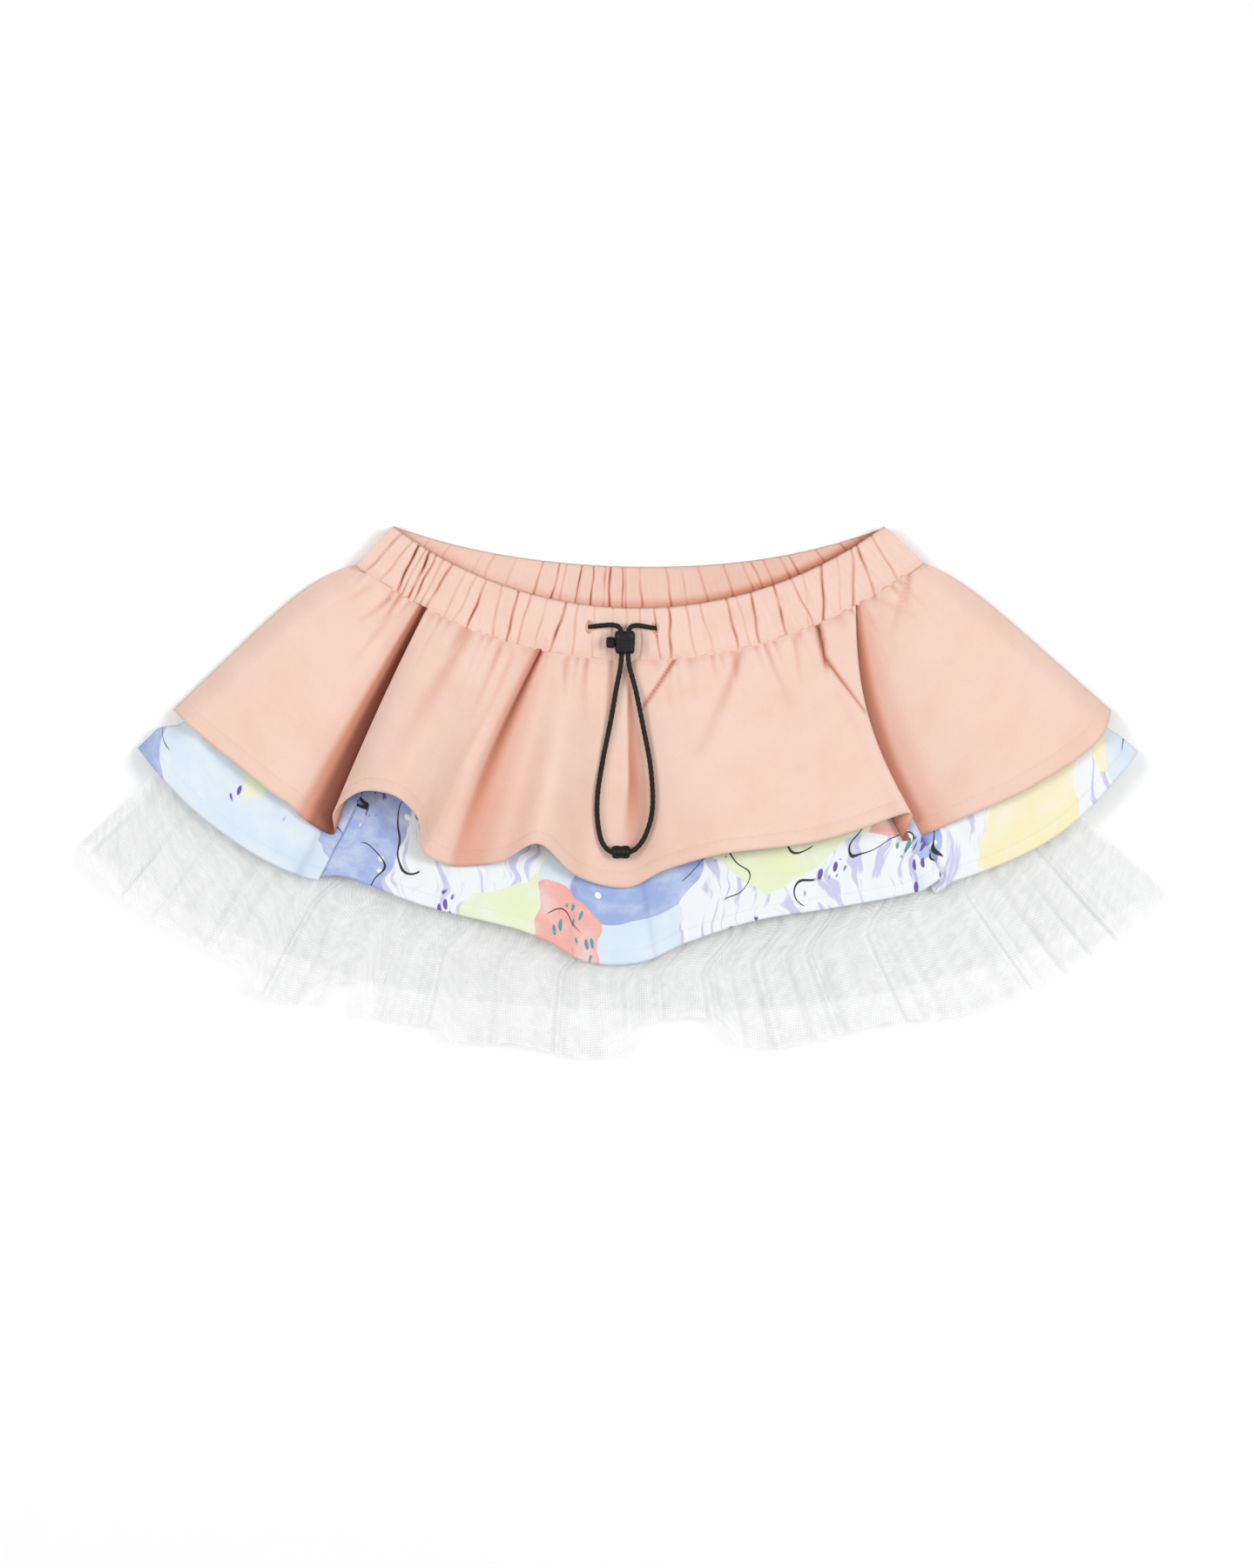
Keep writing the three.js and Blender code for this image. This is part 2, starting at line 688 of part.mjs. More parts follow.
const fittings = new THREE.Group();
const lockBody = named("cord_lock_body", cordLockBody(), plastic);
lockBody.position.set(...lock.centre);
const lockButton = named("cord_lock_button", cordLockButton(), plastic);
lockButton.position.set(...lock.centre);
lockButton.position.x += button.sunk - button.length - lock.width / 2;
const endStopper = named("cord_stopper", cordStopper(), plastic);
endStopper.position.set(...stopper.centre);
fittings.add(named("drawcord", drawcord(), braid), lockBody, lockButton, endStopper);
skirt.add(fittings);

export default skirt;
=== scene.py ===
import math

import bpy
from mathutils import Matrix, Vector, noise


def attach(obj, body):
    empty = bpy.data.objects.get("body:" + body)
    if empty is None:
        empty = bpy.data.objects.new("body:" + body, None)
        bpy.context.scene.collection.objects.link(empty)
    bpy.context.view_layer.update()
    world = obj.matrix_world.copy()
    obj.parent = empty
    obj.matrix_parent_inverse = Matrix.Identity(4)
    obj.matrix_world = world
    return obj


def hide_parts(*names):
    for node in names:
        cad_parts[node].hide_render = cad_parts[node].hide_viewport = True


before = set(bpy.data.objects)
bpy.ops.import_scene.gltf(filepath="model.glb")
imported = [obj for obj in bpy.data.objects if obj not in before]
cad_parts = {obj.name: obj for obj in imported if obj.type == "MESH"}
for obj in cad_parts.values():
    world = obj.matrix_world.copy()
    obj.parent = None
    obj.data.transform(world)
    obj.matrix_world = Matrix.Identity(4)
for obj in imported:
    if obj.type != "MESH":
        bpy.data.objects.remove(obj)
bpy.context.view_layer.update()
mm = 0.001

# The skirt spreads like a fan: every place is an angle from straight down and a radius in mm
# from the point where its two side folds would meet, and a height above the floor.
fan = {"apexX": -1.2, "apexY": 237.3, "halfWidth": 46.0}


def clamp(x, low=0.0, high=1.0):
    return max(low, min(high, x))


def lerp(a, b, t):
    return a + (b - a) * t


def smooth(x, low, high):
    t = clamp((x - low) / (high - low))
    return t * t * (3 - 2 * t)


def place(angle, radius, height):
    turn = math.radians(angle)
    across, down = radius * math.sin(turn), radius * math.cos(turn)
    return Vector((fan["apexX"] + across, fan["apexY"] - down, height))


def fanOf(point):
    # the angle and radius of a place
    x, y = point.x - fan["apexX"], fan["apexY"] - point.y
    return math.degrees(math.atan2(x, y)), math.hypot(x, y)


# The camera comes first, and the cord is the first piece.

camera = {"height": 2.6, "lens": 129.0, "middleX": 0.0, "middleY": 3.7}


def makeCamera():
    data = bpy.data.cameras.new("overhead")
    data.lens = camera["lens"]
    data.sensor_fit = "VERTICAL"
    data.sensor_height = 36.0
    data.clip_end = 20.0
    seen = bpy.data.objects.new("overhead", data)
    bpy.context.scene.collection.objects.link(seen)
    seen.location = (camera["middleX"] * mm, camera["middleY"] * mm, camera["height"])
    bpy.context.scene.camera = seen


makeCamera()
print("camera placed")


# Shader writing

class Signal:
    # one socket of a node tree, so that shader maths reads as plain expressions
    def __init__(self, finish, socket):
        self.finish = finish
        self.socket = socket

    def math(self, operation, *others):
        values = dict(enumerate((self,) + others))
        return self.finish.node("ShaderNodeMath", {"operation": operation}, values)

    def __add__(self, other):
        return self.math("ADD", other)

    __radd__ = __add__

    def __sub__(self, other):
        return self.math("SUBTRACT", other)

    def __rsub__(self, other):
        return self.finish.node("ShaderNodeMath", {"operation": "SUBTRACT"}, {0: other, 1: self})

    def __mul__(self, other):
        return self.math("MULTIPLY", other)

    __rmul__ = __mul__

    def __gt__(self, other):
        return self.math("GREATER_THAN", other)

    def __lt__(self, other):
        return self.math("LESS_THAN", other)

    def sine(self):
        return self.math("SINE")

    def absolute(self):
        return self.math("ABSOLUTE")

    def step(self, low, high):
        # 0 below low, 1 above high and a soft change between them
        settings = {"interpolation_type": "SMOOTHSTEP"}
        values = {"Value": self, "From Min": low, "From Max": high}
        return self.finish.node("ShaderNodeMapRange", settings, values)

    def part(self, axis):
        return self.finish.node("ShaderNodeSeparateXYZ", {}, {"Vector": self}, out=axis)


class Finish:
    # a material and the nodes that make it
    def __init__(self, name):
        self.material = bpy.data.materials.new(name)
        self.material.use_nodes = True
        self.tree = self.material.node_tree
        self.shader = self.tree.nodes["Principled BSDF"]

    def socketOf(self, sockets, key):
        # a socket by its place, by its identifier or else by its name
        if isinstance(key, int):
            return sockets[key]
        for socket in sockets:
            if socket.identifier == key:
                return socket
        return sockets[key]

    def node(self, kind, settings, values=None, out=0):
        made = self.tree.nodes.new(kind)
        for key, value in settings.items():
            if key == "stops":
                self.fillRamp(made.color_ramp, value)
            else:
                setattr(made, key, value)
        for key, value in (values or {}).items():
            self.feed(self.socketOf(made.inputs, key), value)
        return Signal(self, self.socketOf(made.outputs, out))

    def fillRamp(self, ramp, stops):
        ramp.interpolation = "CONSTANT"  # flat patches of paint
        while len(ramp.elements) < len(stops):
            ramp.elements.new(0.5)
        for element, (at, color) in zip(ramp.elements, stops):
            element.position = at
            element.color = (*color, 1.0)

    def feed(self, socket, value):
        if isinstance(value, Signal):
            self.tree.links.new(value.socket, socket)
        elif socket.type == "RGBA":
            socket.default_value = (*value[:3], 1.0)
        else:
            socket.default_value = value

    def set(self, **values):
        # sockets of the shader, with spaces in their names written as underscores
        for key, value in values.items():
            self.feed(self.shader.inputs[key.replace("_", " ")], value)

    def mixColor(self, share, first, second, blend="MIX"):
        settings = {"data_type": "RGBA", "blend_type": blend}
        values = {"Factor_Float": share, "A_Color": first, "B_Color": second}
        return self.node("ShaderNodeMix", settings, values, out="Result_Color")

    def attribute(self, name, out):
        return self.node("ShaderNodeAttribute", {"attribute_name": name}, out=out)

    def clothPlace(self, scale=(1, 1, 1), shift=(0, 0, 0)):
        # the place on the flat cloth in metres: across, down from the seam, and the way left to the hem
        return self.vector("MULTIPLY_ADD", self.attribute("clothPlace", "Vector"), scale, shift)

    def hollow(self):
        # painted shade: how deep down in a fold the cloth is, 1 in a crease and up to 2 under a fold
        return self.attribute("hollow", "Fac")

    def solidPlace(self):
        return self.node("ShaderNodeTexCoord", {}, out="Object")

    def vector(self, operation, *values):
        inputs = dict(enumerate(values))
        return self.node("ShaderNodeVectorMath", {"operation": operation}, inputs, out="Vector")

    def noise(self, place, scale, detail=2.0, roughness=0.5, out="Fac"):
        values = {"Vector": place, "Scale": scale, "Detail": detail, "Roughness": roughness}
        return self.node("ShaderNodeTexNoise", {}, values, out=out)

    def turned(self, place, turn, scale):
        values = {"Vector": place, "Rotation": (0, 0, turn), "Scale": scale}
        return self.node("ShaderNodeMapping", {}, values)

    def cells(self, place, scale, randomness, out="Distance", feature="F1"):
        values = {"Vector": place, "Scale": scale, "Randomness": randomness}
        return self.node("ShaderNodeTexVoronoi", {"feature": feature}, values, out=out)

    def bump(self, height, distance, strength):
        values = {"Height": height, "Distance": distance, "Strength": strength}
        return self.node("ShaderNodeBump", {}, values, out="Normal")


print("shader helpers ready")


# The lines of the skirt. These are the same as the solids' own.

def named(columns, rows):
    # rows of values under the names of their columns
    return [dict(zip(columns.split(), row)) for row in rows]


# top edges of the waistband's two halves: radius at the middle, and how it tilts and bows
topEdges = {
    "front": {"middle": 152.2, "tilt": 4.0, "bow": 9.5},
    "back": {"middle": 133.0, "tilt": 3.0, "bow": 30.0},
}
bandWidth = 25.5
# side folds: their angle at the band, how far they turn below it, and the radius where that starts
sides = {
    "left": {"band": -43.0, "turn": -3.3, "start": 182.5},
    "right": {"band": 46.3, "turn": 2.1, "start": 192.5},
}
sideSwing = {"over": 108.0, "quickness": 7}
backHems = named("angle outer print net", [
    (-46.3, 288.5, 313.0, 363.0), (-23.0, 271.0, 297.0, 347.0), (0.0, 263.5, 290.0, 338.0),
    (24.0, 274.0, 301.0, 354.0), (48.4, 301.0, 324.0, 384.0),
])
printHem = named("angle reach lift", [
    (-46.0, 312.5, 0.0), (-38.0, 316.0, 1.2), (-28.5, 314.0, 0.4), (-25.0, 305.0, 3.4),
    (-18.0, 304.0, 3.0), (-10.0, 304.0, 4.4), (-6.5, 308.0, 2.6), (-3.2, 316.0, 0.3),
    (1.4, 316.0, 0.2), (5.5, 308.0, 2.4), (12.0, 302.5, 4.8), (19.0, 306.5, 4.2),
    (25.0, 313.0, 3.2), (27.6, 316.0, 0.5), (38.0, 325.5, 1.6), (47.2, 323.0, 0.0),
])
# height of each front layer at the seam, where it has puffed up, and at the side folds, which
# drop past the hem of the back tier under them
levels = {
    "net": {"seam": 4.8, "spread": 7.4, "side": (4.8, 1.8), "drop": (18, 34), "under": "print"},
    "print": {"seam": 6.3, "spread": 10.9, "side": (3.9, 2.4), "drop": (14, 22), "under": "outer"},
    "outer": {"seam": 7.9, "spread": 13.0, "side": (2.2, 2.2), "drop": (0, 1), "under": "outer"},
}
# how far each tier's side folds lie inside the outer tier's: hidden, and where it shows
sideInset = {
    "outer": {"left": (0, 0), "right": (0, 0), "change": (0, 1)},
    "print": {"left": (7.5, 1.5), "right": (7.5, 6), "change": (1, 12)},
    "net": {"left": (17, 15), "right": (17, 45), "change": (-20, 0)},
}
puffLength = 45.0  # the way below the seam where a front layer has puffed up
shoulderWidth = 12.0  # the way in from a side fold where it has risen
flutePower = 1.5  # above 1, flutes rise sooner below the seam
creaseFade = 0.65  # how much shallower a crease is at its end


def readTable(rows, column, angle):
    # a smooth curve through a column, read at any angle
    last = len(rows) - 1
    i = 0
    while i < last - 1 and angle > rows[i + 1]["angle"]:
        i += 1

    def slope(k):
        before, after = rows[max(k - 1, 0)], rows[min(k + 1, last)]
        return (after[column] - before[column]) / (after["angle"] - before["angle"])

    here, after = rows[i], rows[i + 1]
    gap = after["angle"] - here["angle"]
    t = clamp((angle - here["angle"]) / gap)
    rest = 1 - t
    start = here[column] * (1 + 2 * t) * rest * rest + slope(i) * gap * t * rest * rest
    return start + after[column] * (1 + 2 * rest) * t * t - slope(i + 1) * gap * rest * t * t


def curveOf(rows, column):
    return lambda angle: readTable(rows, column, angle)


def topEdge(which, angle):
    t = angle / fan["halfWidth"]
    edge = topEdges[which]
    return edge["middle"] + edge["tilt"] * t + edge["bow"] * t * t


def seamRadius(which, angle):
    return topEdge(which, angle) + bandWidth


def sideAngle(tier, side, radius):
    line = sides[side]
    share = clamp((radius - line["start"]) / sideSwing["over"])
    swing = line["turn"] * (1 - (1 - share) ** sideSwing["quickness"])
    hem = backHems[0 if side == "left" else -1][levels[tier]["under"]]
    hidden, shown = sideInset[tier][side]
    inset = math.degrees(lerp(hidden, shown, smooth(radius - hem, *sideInset[tier]["change"])) / radius)
    return line["band"] + swing + (inset if side == "left" else -inset)


def shoulder(tier, angle, radius):
    # 0 at a tier's side folds and 1 clear of them
    left = angle - sideAngle(tier, "left", radius)
    right = sideAngle(tier, "right", radius) - angle
    inward = math.radians(min(left, right)) * radius
    return math.sin(math.pi / 2 * clamp(inward / shoulderWidth))


def restingHeight(tier, angle, radius):
    level = levels[tier]
    puff = clamp((radius - seamRadius("front", angle)) / puffLength)
    past = radius - readTable(backHems, level["under"], angle)
    edge = lerp(*level["side"], smooth(past, *level["drop"]))
    return lerp(edge, lerp(level["seam"], level["spread"], puff), shoulder(tier, angle, radius))


def printLift(angle, radius):
    seam = seamRadius("front", angle)
    down = clamp((radius - seam) / (readTable(printHem, "reach", angle) - seam))
    rise = 1 - (1 - down) ** flutePower
    return readTable(printHem, "lift", angle) * rise * shoulder("print", angle, radius)


def throughPoints(points, t):
    # a centripetal curve through points, from 0 at the first to 1 at the last
    spans = len(points) - 1
    i = min(int(t * spans), spans - 1)
    w = t * spans - i
    b, c = points[i], points[i + 1]
    a = points[i - 1] if i > 0 else b * 2 - c
    d = points[i + 2] if i + 2 <= spans else c * 2 - b
    ab, bc, cd = (max(math.sqrt((q - p).length), 1e-4) for p, q in ((a, b), (b, c), (c, d)))
    first = ((b - a) / ab - (c - a) / (ab + bc) + (c - b) / bc) * bc
    second = ((c - b) / bc - (d - b) / (bc + cd) + (d - c) / cd) * bc
    cubic = b * 2 - c * 2 + first + second
    square = c * 3 - b * 3 - first * 2 - second
    return b + first * w + square * (w * w) + cubic * (w ** 3)


def creaseHeight(creases, angle, radius):
    # soft troughs, or ridges where deep is negative, along straight lines on the fan
    height = 0.0
    x, y = math.radians(angle) * radius, radius
    for start, end, halfWidth, deep in creases:
        ax, ay = math.radians(start[0]) * radius, start[1]
        bx, by = math.radians(end[0]) * radius, end[1]
        span = (bx - ax) ** 2 + (by - ay) ** 2
        t = clamp(((x - ax) * (bx - ax) + (y - ay) * (by - ay)) / span)
        away = math.hypot(x - ax - t * (bx - ax), y - ay - t * (by - ay)) / halfWidth
        if away < 3:
            height -= deep * math.exp(-away * away) * (1 - creaseFade * t)
    return height


def rowLengths(row):
    total, lengths = 0.0, [0.0]
    for p, q in zip(row, row[1:]):
        total += (q - p).length
        lengths.append(total)
    return lengths


def clothPlaces(grid):
    # across and down on the flat cloth, and the way left to the hem, for each point of a grid.
    # Across is shared out as it is in one row near the hem
    measured = rowLengths(grid[int(len(grid) * 0.8)])
    shares = [x / measured[-1] for x in measured]
    downs = rowLengths([row[len(row) // 2] for row in grid])
    places = []
    for row, down in zip(grid, downs):
        width = rowLengths(row)[-1]
        places += [Vector(((s - 0.5) * width, down, downs[-1] - down)) * mm for s in shares]
    return places


def addMesh(name, verts, faces, finish, places=None, hollow=None):
    mesh = bpy.data.meshes.new(name)
    mesh.from_pydata([v * mm for v in verts], [], faces)
    mesh.update()
    if places:
        stored = mesh.attributes.new("clothPlace", "FLOAT_VECTOR", "POINT")
        stored.data.foreach_set("vector", [x for p in places for x in p])
    # painted shade, stored on each point for the finish
    if hollow:
        stored = mesh.attributes.new("hollow", "FLOAT", "POINT")
        stored.data.foreach_set("value", hollow)
    mesh.polygons.foreach_set("use_smooth", [True] * len(mesh.polygons))
    piece = bpy.data.objects.new(name, mesh)
    bpy.context.scene.collection.objects.link(piece)
    piece.data.materials.append(finish.material)
    return piece


def normalsOf(grid):
    rows, columns = len(grid), len(grid[0])
    normals = []
    for j in range(rows):
        line = []
        for i in range(columns):
            across = grid[j][min(i + 1, columns - 1)] - grid[j][max(i - 1, 0)]
            down = grid[min(j + 1, rows - 1)][i] - grid[max(j - 1, 0)][i]
            line.append(down.cross(across).normalized())
        normals.append(line)
    return normals


def sheetFaces(rows, columns, start=0, flip=False):
    faces = []
    for j in range(rows - 1):
        for i in range(columns - 1):
            a = start + j * columns + i
            face = (a, a + columns, a + columns + 1, a + 1)
            faces.append(face[::-1] if flip else face)
    return faces


def clothShell(name, grid, thick, finish, hollow=None):
    # two skins round a grid of points, joined all round their rim
    rows, columns = len(grid), len(grid[0])
    normals = normalsOf(grid)
    verts = []
    for side in (0.5, -0.5):
        for row, line in zip(grid, normals):
            for point, normal in zip(row, line):
                moved = point + normal * (side * thick)
                moved.z = max(moved.z, 0.0)
                verts.append(moved)
    under = rows * columns
    faces = sheetFaces(rows, columns) + sheetFaces(rows, columns, under, flip=True)
    rim = list(range(columns))
    rim += [j * columns + columns - 1 for j in range(1, rows)]
    rim += [(rows - 1) * columns + i for i in range(columns - 2, -1, -1)]
    rim += [j * columns for j in range(rows - 2, 0, -1)]
    for a, b in zip(rim, rim[1:] + rim[:1]):
        faces.append((a, b, b + under, a + under))
    return addMesh(name, verts, faces, finish, clothPlaces(grid) * 2, (hollow or creaseShadeOf(grid)) * 2)


def clothSheet(name, grid, finish):
    # one skin, for the net
    verts = [p for row in grid for p in row]
    faces = sheetFaces(len(grid), len(grid[0]))
    return addMesh(name, verts, faces, finish, clothPlaces(grid), creaseShadeOf(grid))


# painted crease shade: a short and a long reach in mm, with the weight of each, and where it fades in
# from the side folds
creaseShading = {"reaches": ((3.0, 0.7), (10.0, 0.17)), "sideFade": (6, 20)}


def creaseShadeOf(grid):
    # painted shade from 0 to 1: how far each point lies below the cloth on both sides of it
    values = []
    for row in grid:
        total, sums = 0.0, [0.0]
        for p in row:
            total += p.z
            sums.append(total)
        every = rowLengths(row)[-1] / len(row)
        for i, p in enumerate(row):
            value = 0.0
            for reach, weight in creaseShading["reaches"]:
                w = max(1, round(reach / every))
                a, b = max(0, i - w), min(len(row), i + w + 1)
                value += max(0.0, (sums[b] - sums[a]) / (b - a) - p.z) * weight
            value *= smooth(min(i, len(row) - 1 - i) * every, *creaseShading["sideFade"])
            values.append(min(value, 1.0))
    return values


def seeded(k, salt):
    # an even spread of numbers from 0 to 1 that is the same in each run
    return math.modf(math.sin(k * 12.9898 + salt * 78.233) * 43758.5453)[0] % 1.0


def dress(piece, node):
    # the piece takes its solid's place on the skirt's one body
    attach(piece, "root")
    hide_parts(node)


def layCloth(name, node, finish, piece, grid, hollow=None):
    # a panel of cloth that lies on the pieces under it
    cloth = clothShell(name, grid, piece["thick"], finish, hollow)
    dress(cloth, node)


print("shape helpers ready")


# Finishes

def threads(finish, size):
    # height of a plain weave of threads, size metres apart
    where = finish.clothPlace()
    turn = 2 * math.pi / size
    warp = (where.part("X") * turn).sine()
    weft = (where.part("Y") * turn).sine()
    return warp * 0.5 + weft * 0.5


def hemStitches(finish, way, stitch):
    # a row of stitches, way metres up from the hem: 1 on the thread of a stitch
    where = finish.clothPlace()
    across = (where.part("X") * (2 * math.pi / stitch["length"])).sine()
    line = (where.part("Z") - way).absolute()
    onLine = 1 - line.step(stitch["width"] * 0.3, stitch["width"])
    return onLine * across.step(-0.35, 0.25)


def turnedHem(where, start, blend):
    # 1 on the turned up hem, start metres wide, and 0 above it
    return 1 - where.part("Z").step(start, start + blend)


peach = {
    "mottle": 34, "fuzz": 1900,  # noises, how many to a metre
    "lit": (0.86, 0.63, 0.54),
    "deep": (0.82, 0.54, 0.43),
    "hollow": (0.6, 0.21, 0.125),  # painted shade down in the creases
    "deepPaintedShade": (0.13, 0.02, 0.008),  # painted shade, near black, deep under a fold
    "paintedShadeShare": 0.85,
    "stitches": (0.95, 0.72, 0.6),
    "thread": 0.00042,
    "hem": 0.0068,
    "stitch": {"length": 0.0032, "width": 0.00045},
    "relief": 0.0004,
}


def peachCloth():
    finish = Finish("peachCloth")
    where = finish.clothPlace()
    mottle = finish.noise(where, peach["mottle"], 4.0, 0.6)
    fuzz = finish.noise(finish.clothPlace((1, 0.25, 1)), peach["fuzz"], 2.0)
    stitches = hemStitches(finish, peach["hem"], peach["stitch"])
    turned = turnedHem(where, peach["hem"] + 0.0002, 0.0007)
    share = mottle.step(0.3, 0.75) * 0.5 + fuzz.step(0.35, 0.7) * 0.3 + turned * 0.15
    color = finish.mixColor(share, peach["lit"], peach["deep"])
    color = finish.mixColor(stitches * 0.22, color, peach["stitches"])
    # painted shade: orange-brown in the creases, and near black deep under the folds
    hollow = finish.hollow()
    color = finish.mixColor(hollow.math("MINIMUM", 1.0) * peach["paintedShadeShare"], color, peach["hollow"])
    color = finish.mixColor(hollow - 1, color, peach["deepPaintedShade"])
    weave = threads(finish, peach["thread"])
    height = weave * 0.09 + fuzz * 0.3 + mottle * 0.8 + turned * 0.6 - stitches * 0.45
    normal = finish.bump(height, peach["relief"], 0.75)
    finish.set(Base_Color=color, Roughness=0.72 + mottle * 0.16, Normal=normal)
    finish.set(Sheen_Weight=0.15, Sheen_Roughness=0.45, Specular_IOR_Level=0.3)
    return finish


satin = {"strand": 3800, "light": (0.8, 0.5, 0.4), "dark": (0.62, 0.34, 0.25)}


def stitchThread():
    finish = Finish("stitchThread")
    strand = finish.noise(finish.solidPlace(), satin["strand"], 2.0)
    color = finish.mixColor(strand.step(0.35, 0.7), satin["light"], satin["dark"])
    finish.set(Base_Color=color, Roughness=0.5 + strand * 0.25, Normal=finish.bump(strand, 0.0001, 0.5))
    finish.set(Sheen_Weight=0.2, Specular_IOR_Level=0.4)
    return finish


printed = {
    # how many to a metre: noises, patches, brush strokes, dots, leaves and their groups, ink loops
    "drift": 24, "wash": 60, "patch": 21, "brush": 210, "dot": 85, "leaf": 290, "spray": 26,
    "loop": 26, "loopRegion": 15,
    "hem": 0.0062,
    "white": (0.83, 0.86, 0.88),
    "ice": (0.66, 0.77, 0.87),
    "blue": (0.33, 0.42, 0.72),
    "butter": (0.88, 0.8, 0.5),
    "lime": (0.77, 0.83, 0.55),
    "coral": (0.84, 0.42, 0.36),
    "lilac": (0.5, 0.48, 0.76),
    "violet": (0.17, 0.09, 0.4),
    "teal": (0.1, 0.33, 0.36),
    "ink": (0.03, 0.03, 0.035),
    "dots": (0.9, 0.92, 0.93),
    "stitches": (0.7, 0.72, 0.78),
    "shade": (0.3, 0.32, 0.45),
}


def printedCloth():
    # soft paint patches, brush strokes on the white, dots on the blue, leaf sprays and loose ink lines
    finish = Finish("printedCloth")
    where = finish.clothPlace()
    drift = finish.noise(where, printed["drift"], 2.0, 0.5, out="Color")
    warped = finish.vector("MULTIPLY_ADD", drift, (0.03, 0.03, 0), where)
    flat = finish.vector("MULTIPLY", warped, (1, 0.6, 0))
    pick = finish.cells(flat, printed["patch"], 0.9, out="Color").part("X")
    stops = [(0.0, "white"), (0.3, "ice"), (0.38, "blue"), (0.52, "white"),
             (0.67, "butter"), (0.78, "ice"), (0.85, "coral"), (0.91, "lime")]
    settings = {"stops": [(at, printed[name]) for at, name in stops]}
    patches = finish.node("ShaderNodeValToRGB", settings, {"Fac": pick}, out="Color")
    wash = finish.noise(where, printed["wash"], 4.0, 0.6)
    color = finish.mixColor(wash.step(0.38, 0.72) * 0.45, patches, printed["white"])

    # dry brush strokes, long and slanting, on the white patches
    brush = finish.noise(finish.turned(warped, -0.5, (1.0, 0.13, 0)), printed["brush"], 3.0, 0.55)
    onWhite = (pick < 0.3) + (pick > 0.52) * (pick < 0.67)
    color = finish.mixColor(brush.step(0.53, 0.62) * onWhite * 0.75, color, printed["lilac"])

    dotAway = finish.cells(finish.vector("MULTIPLY", where, (1, 1, 0)), printed["dot"], 0.7)
    onBlue = (pick > 0.38) * (pick < 0.52)
    dots = (1 - dotAway.step(0.1, 0.15)) * onBlue
    color = finish.mixColor(dots, color, printed["dots"])

    # leaf sprays: slim leaves in a turned grid, kept where a slow noise is high
    leafAway = finish.cells(finish.turned(where, 0.65, (1.0, 0.4, 0)), printed["leaf"], 0.45)
    groups = finish.noise(finish.clothPlace((1, 1, 0), (0.31, 0.12, 0)), printed["spray"], 1.0)
    leaves = (1 - leafAway.step(0.3, 0.38)) * groups.step(0.63, 0.65)
    leafColor = finish.mixColor(pick > 0.45, printed["violet"], printed["teal"])
    color = finish.mixColor(leaves, color, leafColor)

    # ink lines follow one level of a slow noise
    loops = finish.noise(finish.clothPlace((1, 1, 0), (0.07, 0.53, 0)), printed["loop"], 1.0)
    line = 1 - (loops - 0.5).absolute().step(0.003, 0.007)
    region = finish.noise(finish.clothPlace((1, 1, 0), (0.9, 0.2, 0)), printed["loopRegion"], 1.0)
    color = finish.mixColor(line * region.step(0.56, 0.58), color, printed["ink"])

    turned = turnedHem(where, printed["hem"], 0.0006)
    stitches = hemStitches(finish, printed["hem"], peach["stitch"])
    color = finish.mixColor(stitches * 0.25, color, printed["stitches"])
    # painted shade: the print darkens in its creases and under its laps
    color = finish.mixColor(finish.hollow() * 0.5, color, printed["shade"], blend="MULTIPLY")
    height = threads(finish, peach["thread"]) * 0.08 + wash * 0.4 + turned - stitches * 0.5
    normal = finish.bump(height, peach["relief"], 0.6)
    finish.set(Base_Color=color, Roughness=0.66 + wash * 0.15, Normal=normal)
    finish.set(Sheen_Weight=0.1, Sheen_Roughness=0.5, Specular_IOR_Level=0.3)
    return finish


net = {
    "cloudy": 45, "streak": 190,
    "cell": 0.0012,
    "thread": 0.2,
    "threadAlpha": 0.475,
    "holeAlpha": 0.365,
    "light": (0.98, 0.986, 0.984),
    "dull": (0.91, 0.92, 0.917),
    "hollow": (0.82, 0.83, 0.825),
}


def softNet():
    # fine six-sided net: threads round the cells, and holes that let most light through
    finish = Finish("softNet")
    where = finish.clothPlace((1, 1, 0))
    edge = finish.cells(where, 1 / net["cell"], 0.12, feature="DISTANCE_TO_EDGE")
    thread = 1 - edge.step(net["thread"] * 0.4, net["thread"])
    cloudy = finish.noise(finish.clothPlace((1, 0.3, 1)), net["cloudy"], 3.0)
    streak = finish.noise(finish.clothPlace((1, 0.05, 1)), net["streak"], 2.0)
    hollow = finish.hollow()
    # the painted shade value also makes the net a little denser in its creases
    soft = (cloudy - 0.5) * 0.2 + (streak - 0.5) * 0.25 + hollow * 0.15
    alpha = thread * (net["threadAlpha"] - net["holeAlpha"]) + net["holeAlpha"] + soft
    color = finish.mixColor(streak.step(0.35, 0.65), net["dull"], net["light"])
    # painted shade: the net greys in its creases
    color = finish.mixColor(hollow * 0.7, color, net["hollow"])
    finish.set(Base_Color=color, Alpha=alpha.math("MAXIMUM", 0.05), Roughness=0.62 + cloudy * 0.2)
    finish.set(Sheen_Weight=0.2, Sheen_Roughness=0.35, Specular_IOR_Level=0.2)
    finish.set(Normal=finish.bump(thread, 0.0001, 0.25))
    return finish


braid = {"yarn": 5200, "worn": 240, "dark": (0.008, 0.006, 0.005), "light": (0.028, 0.019, 0.015)}


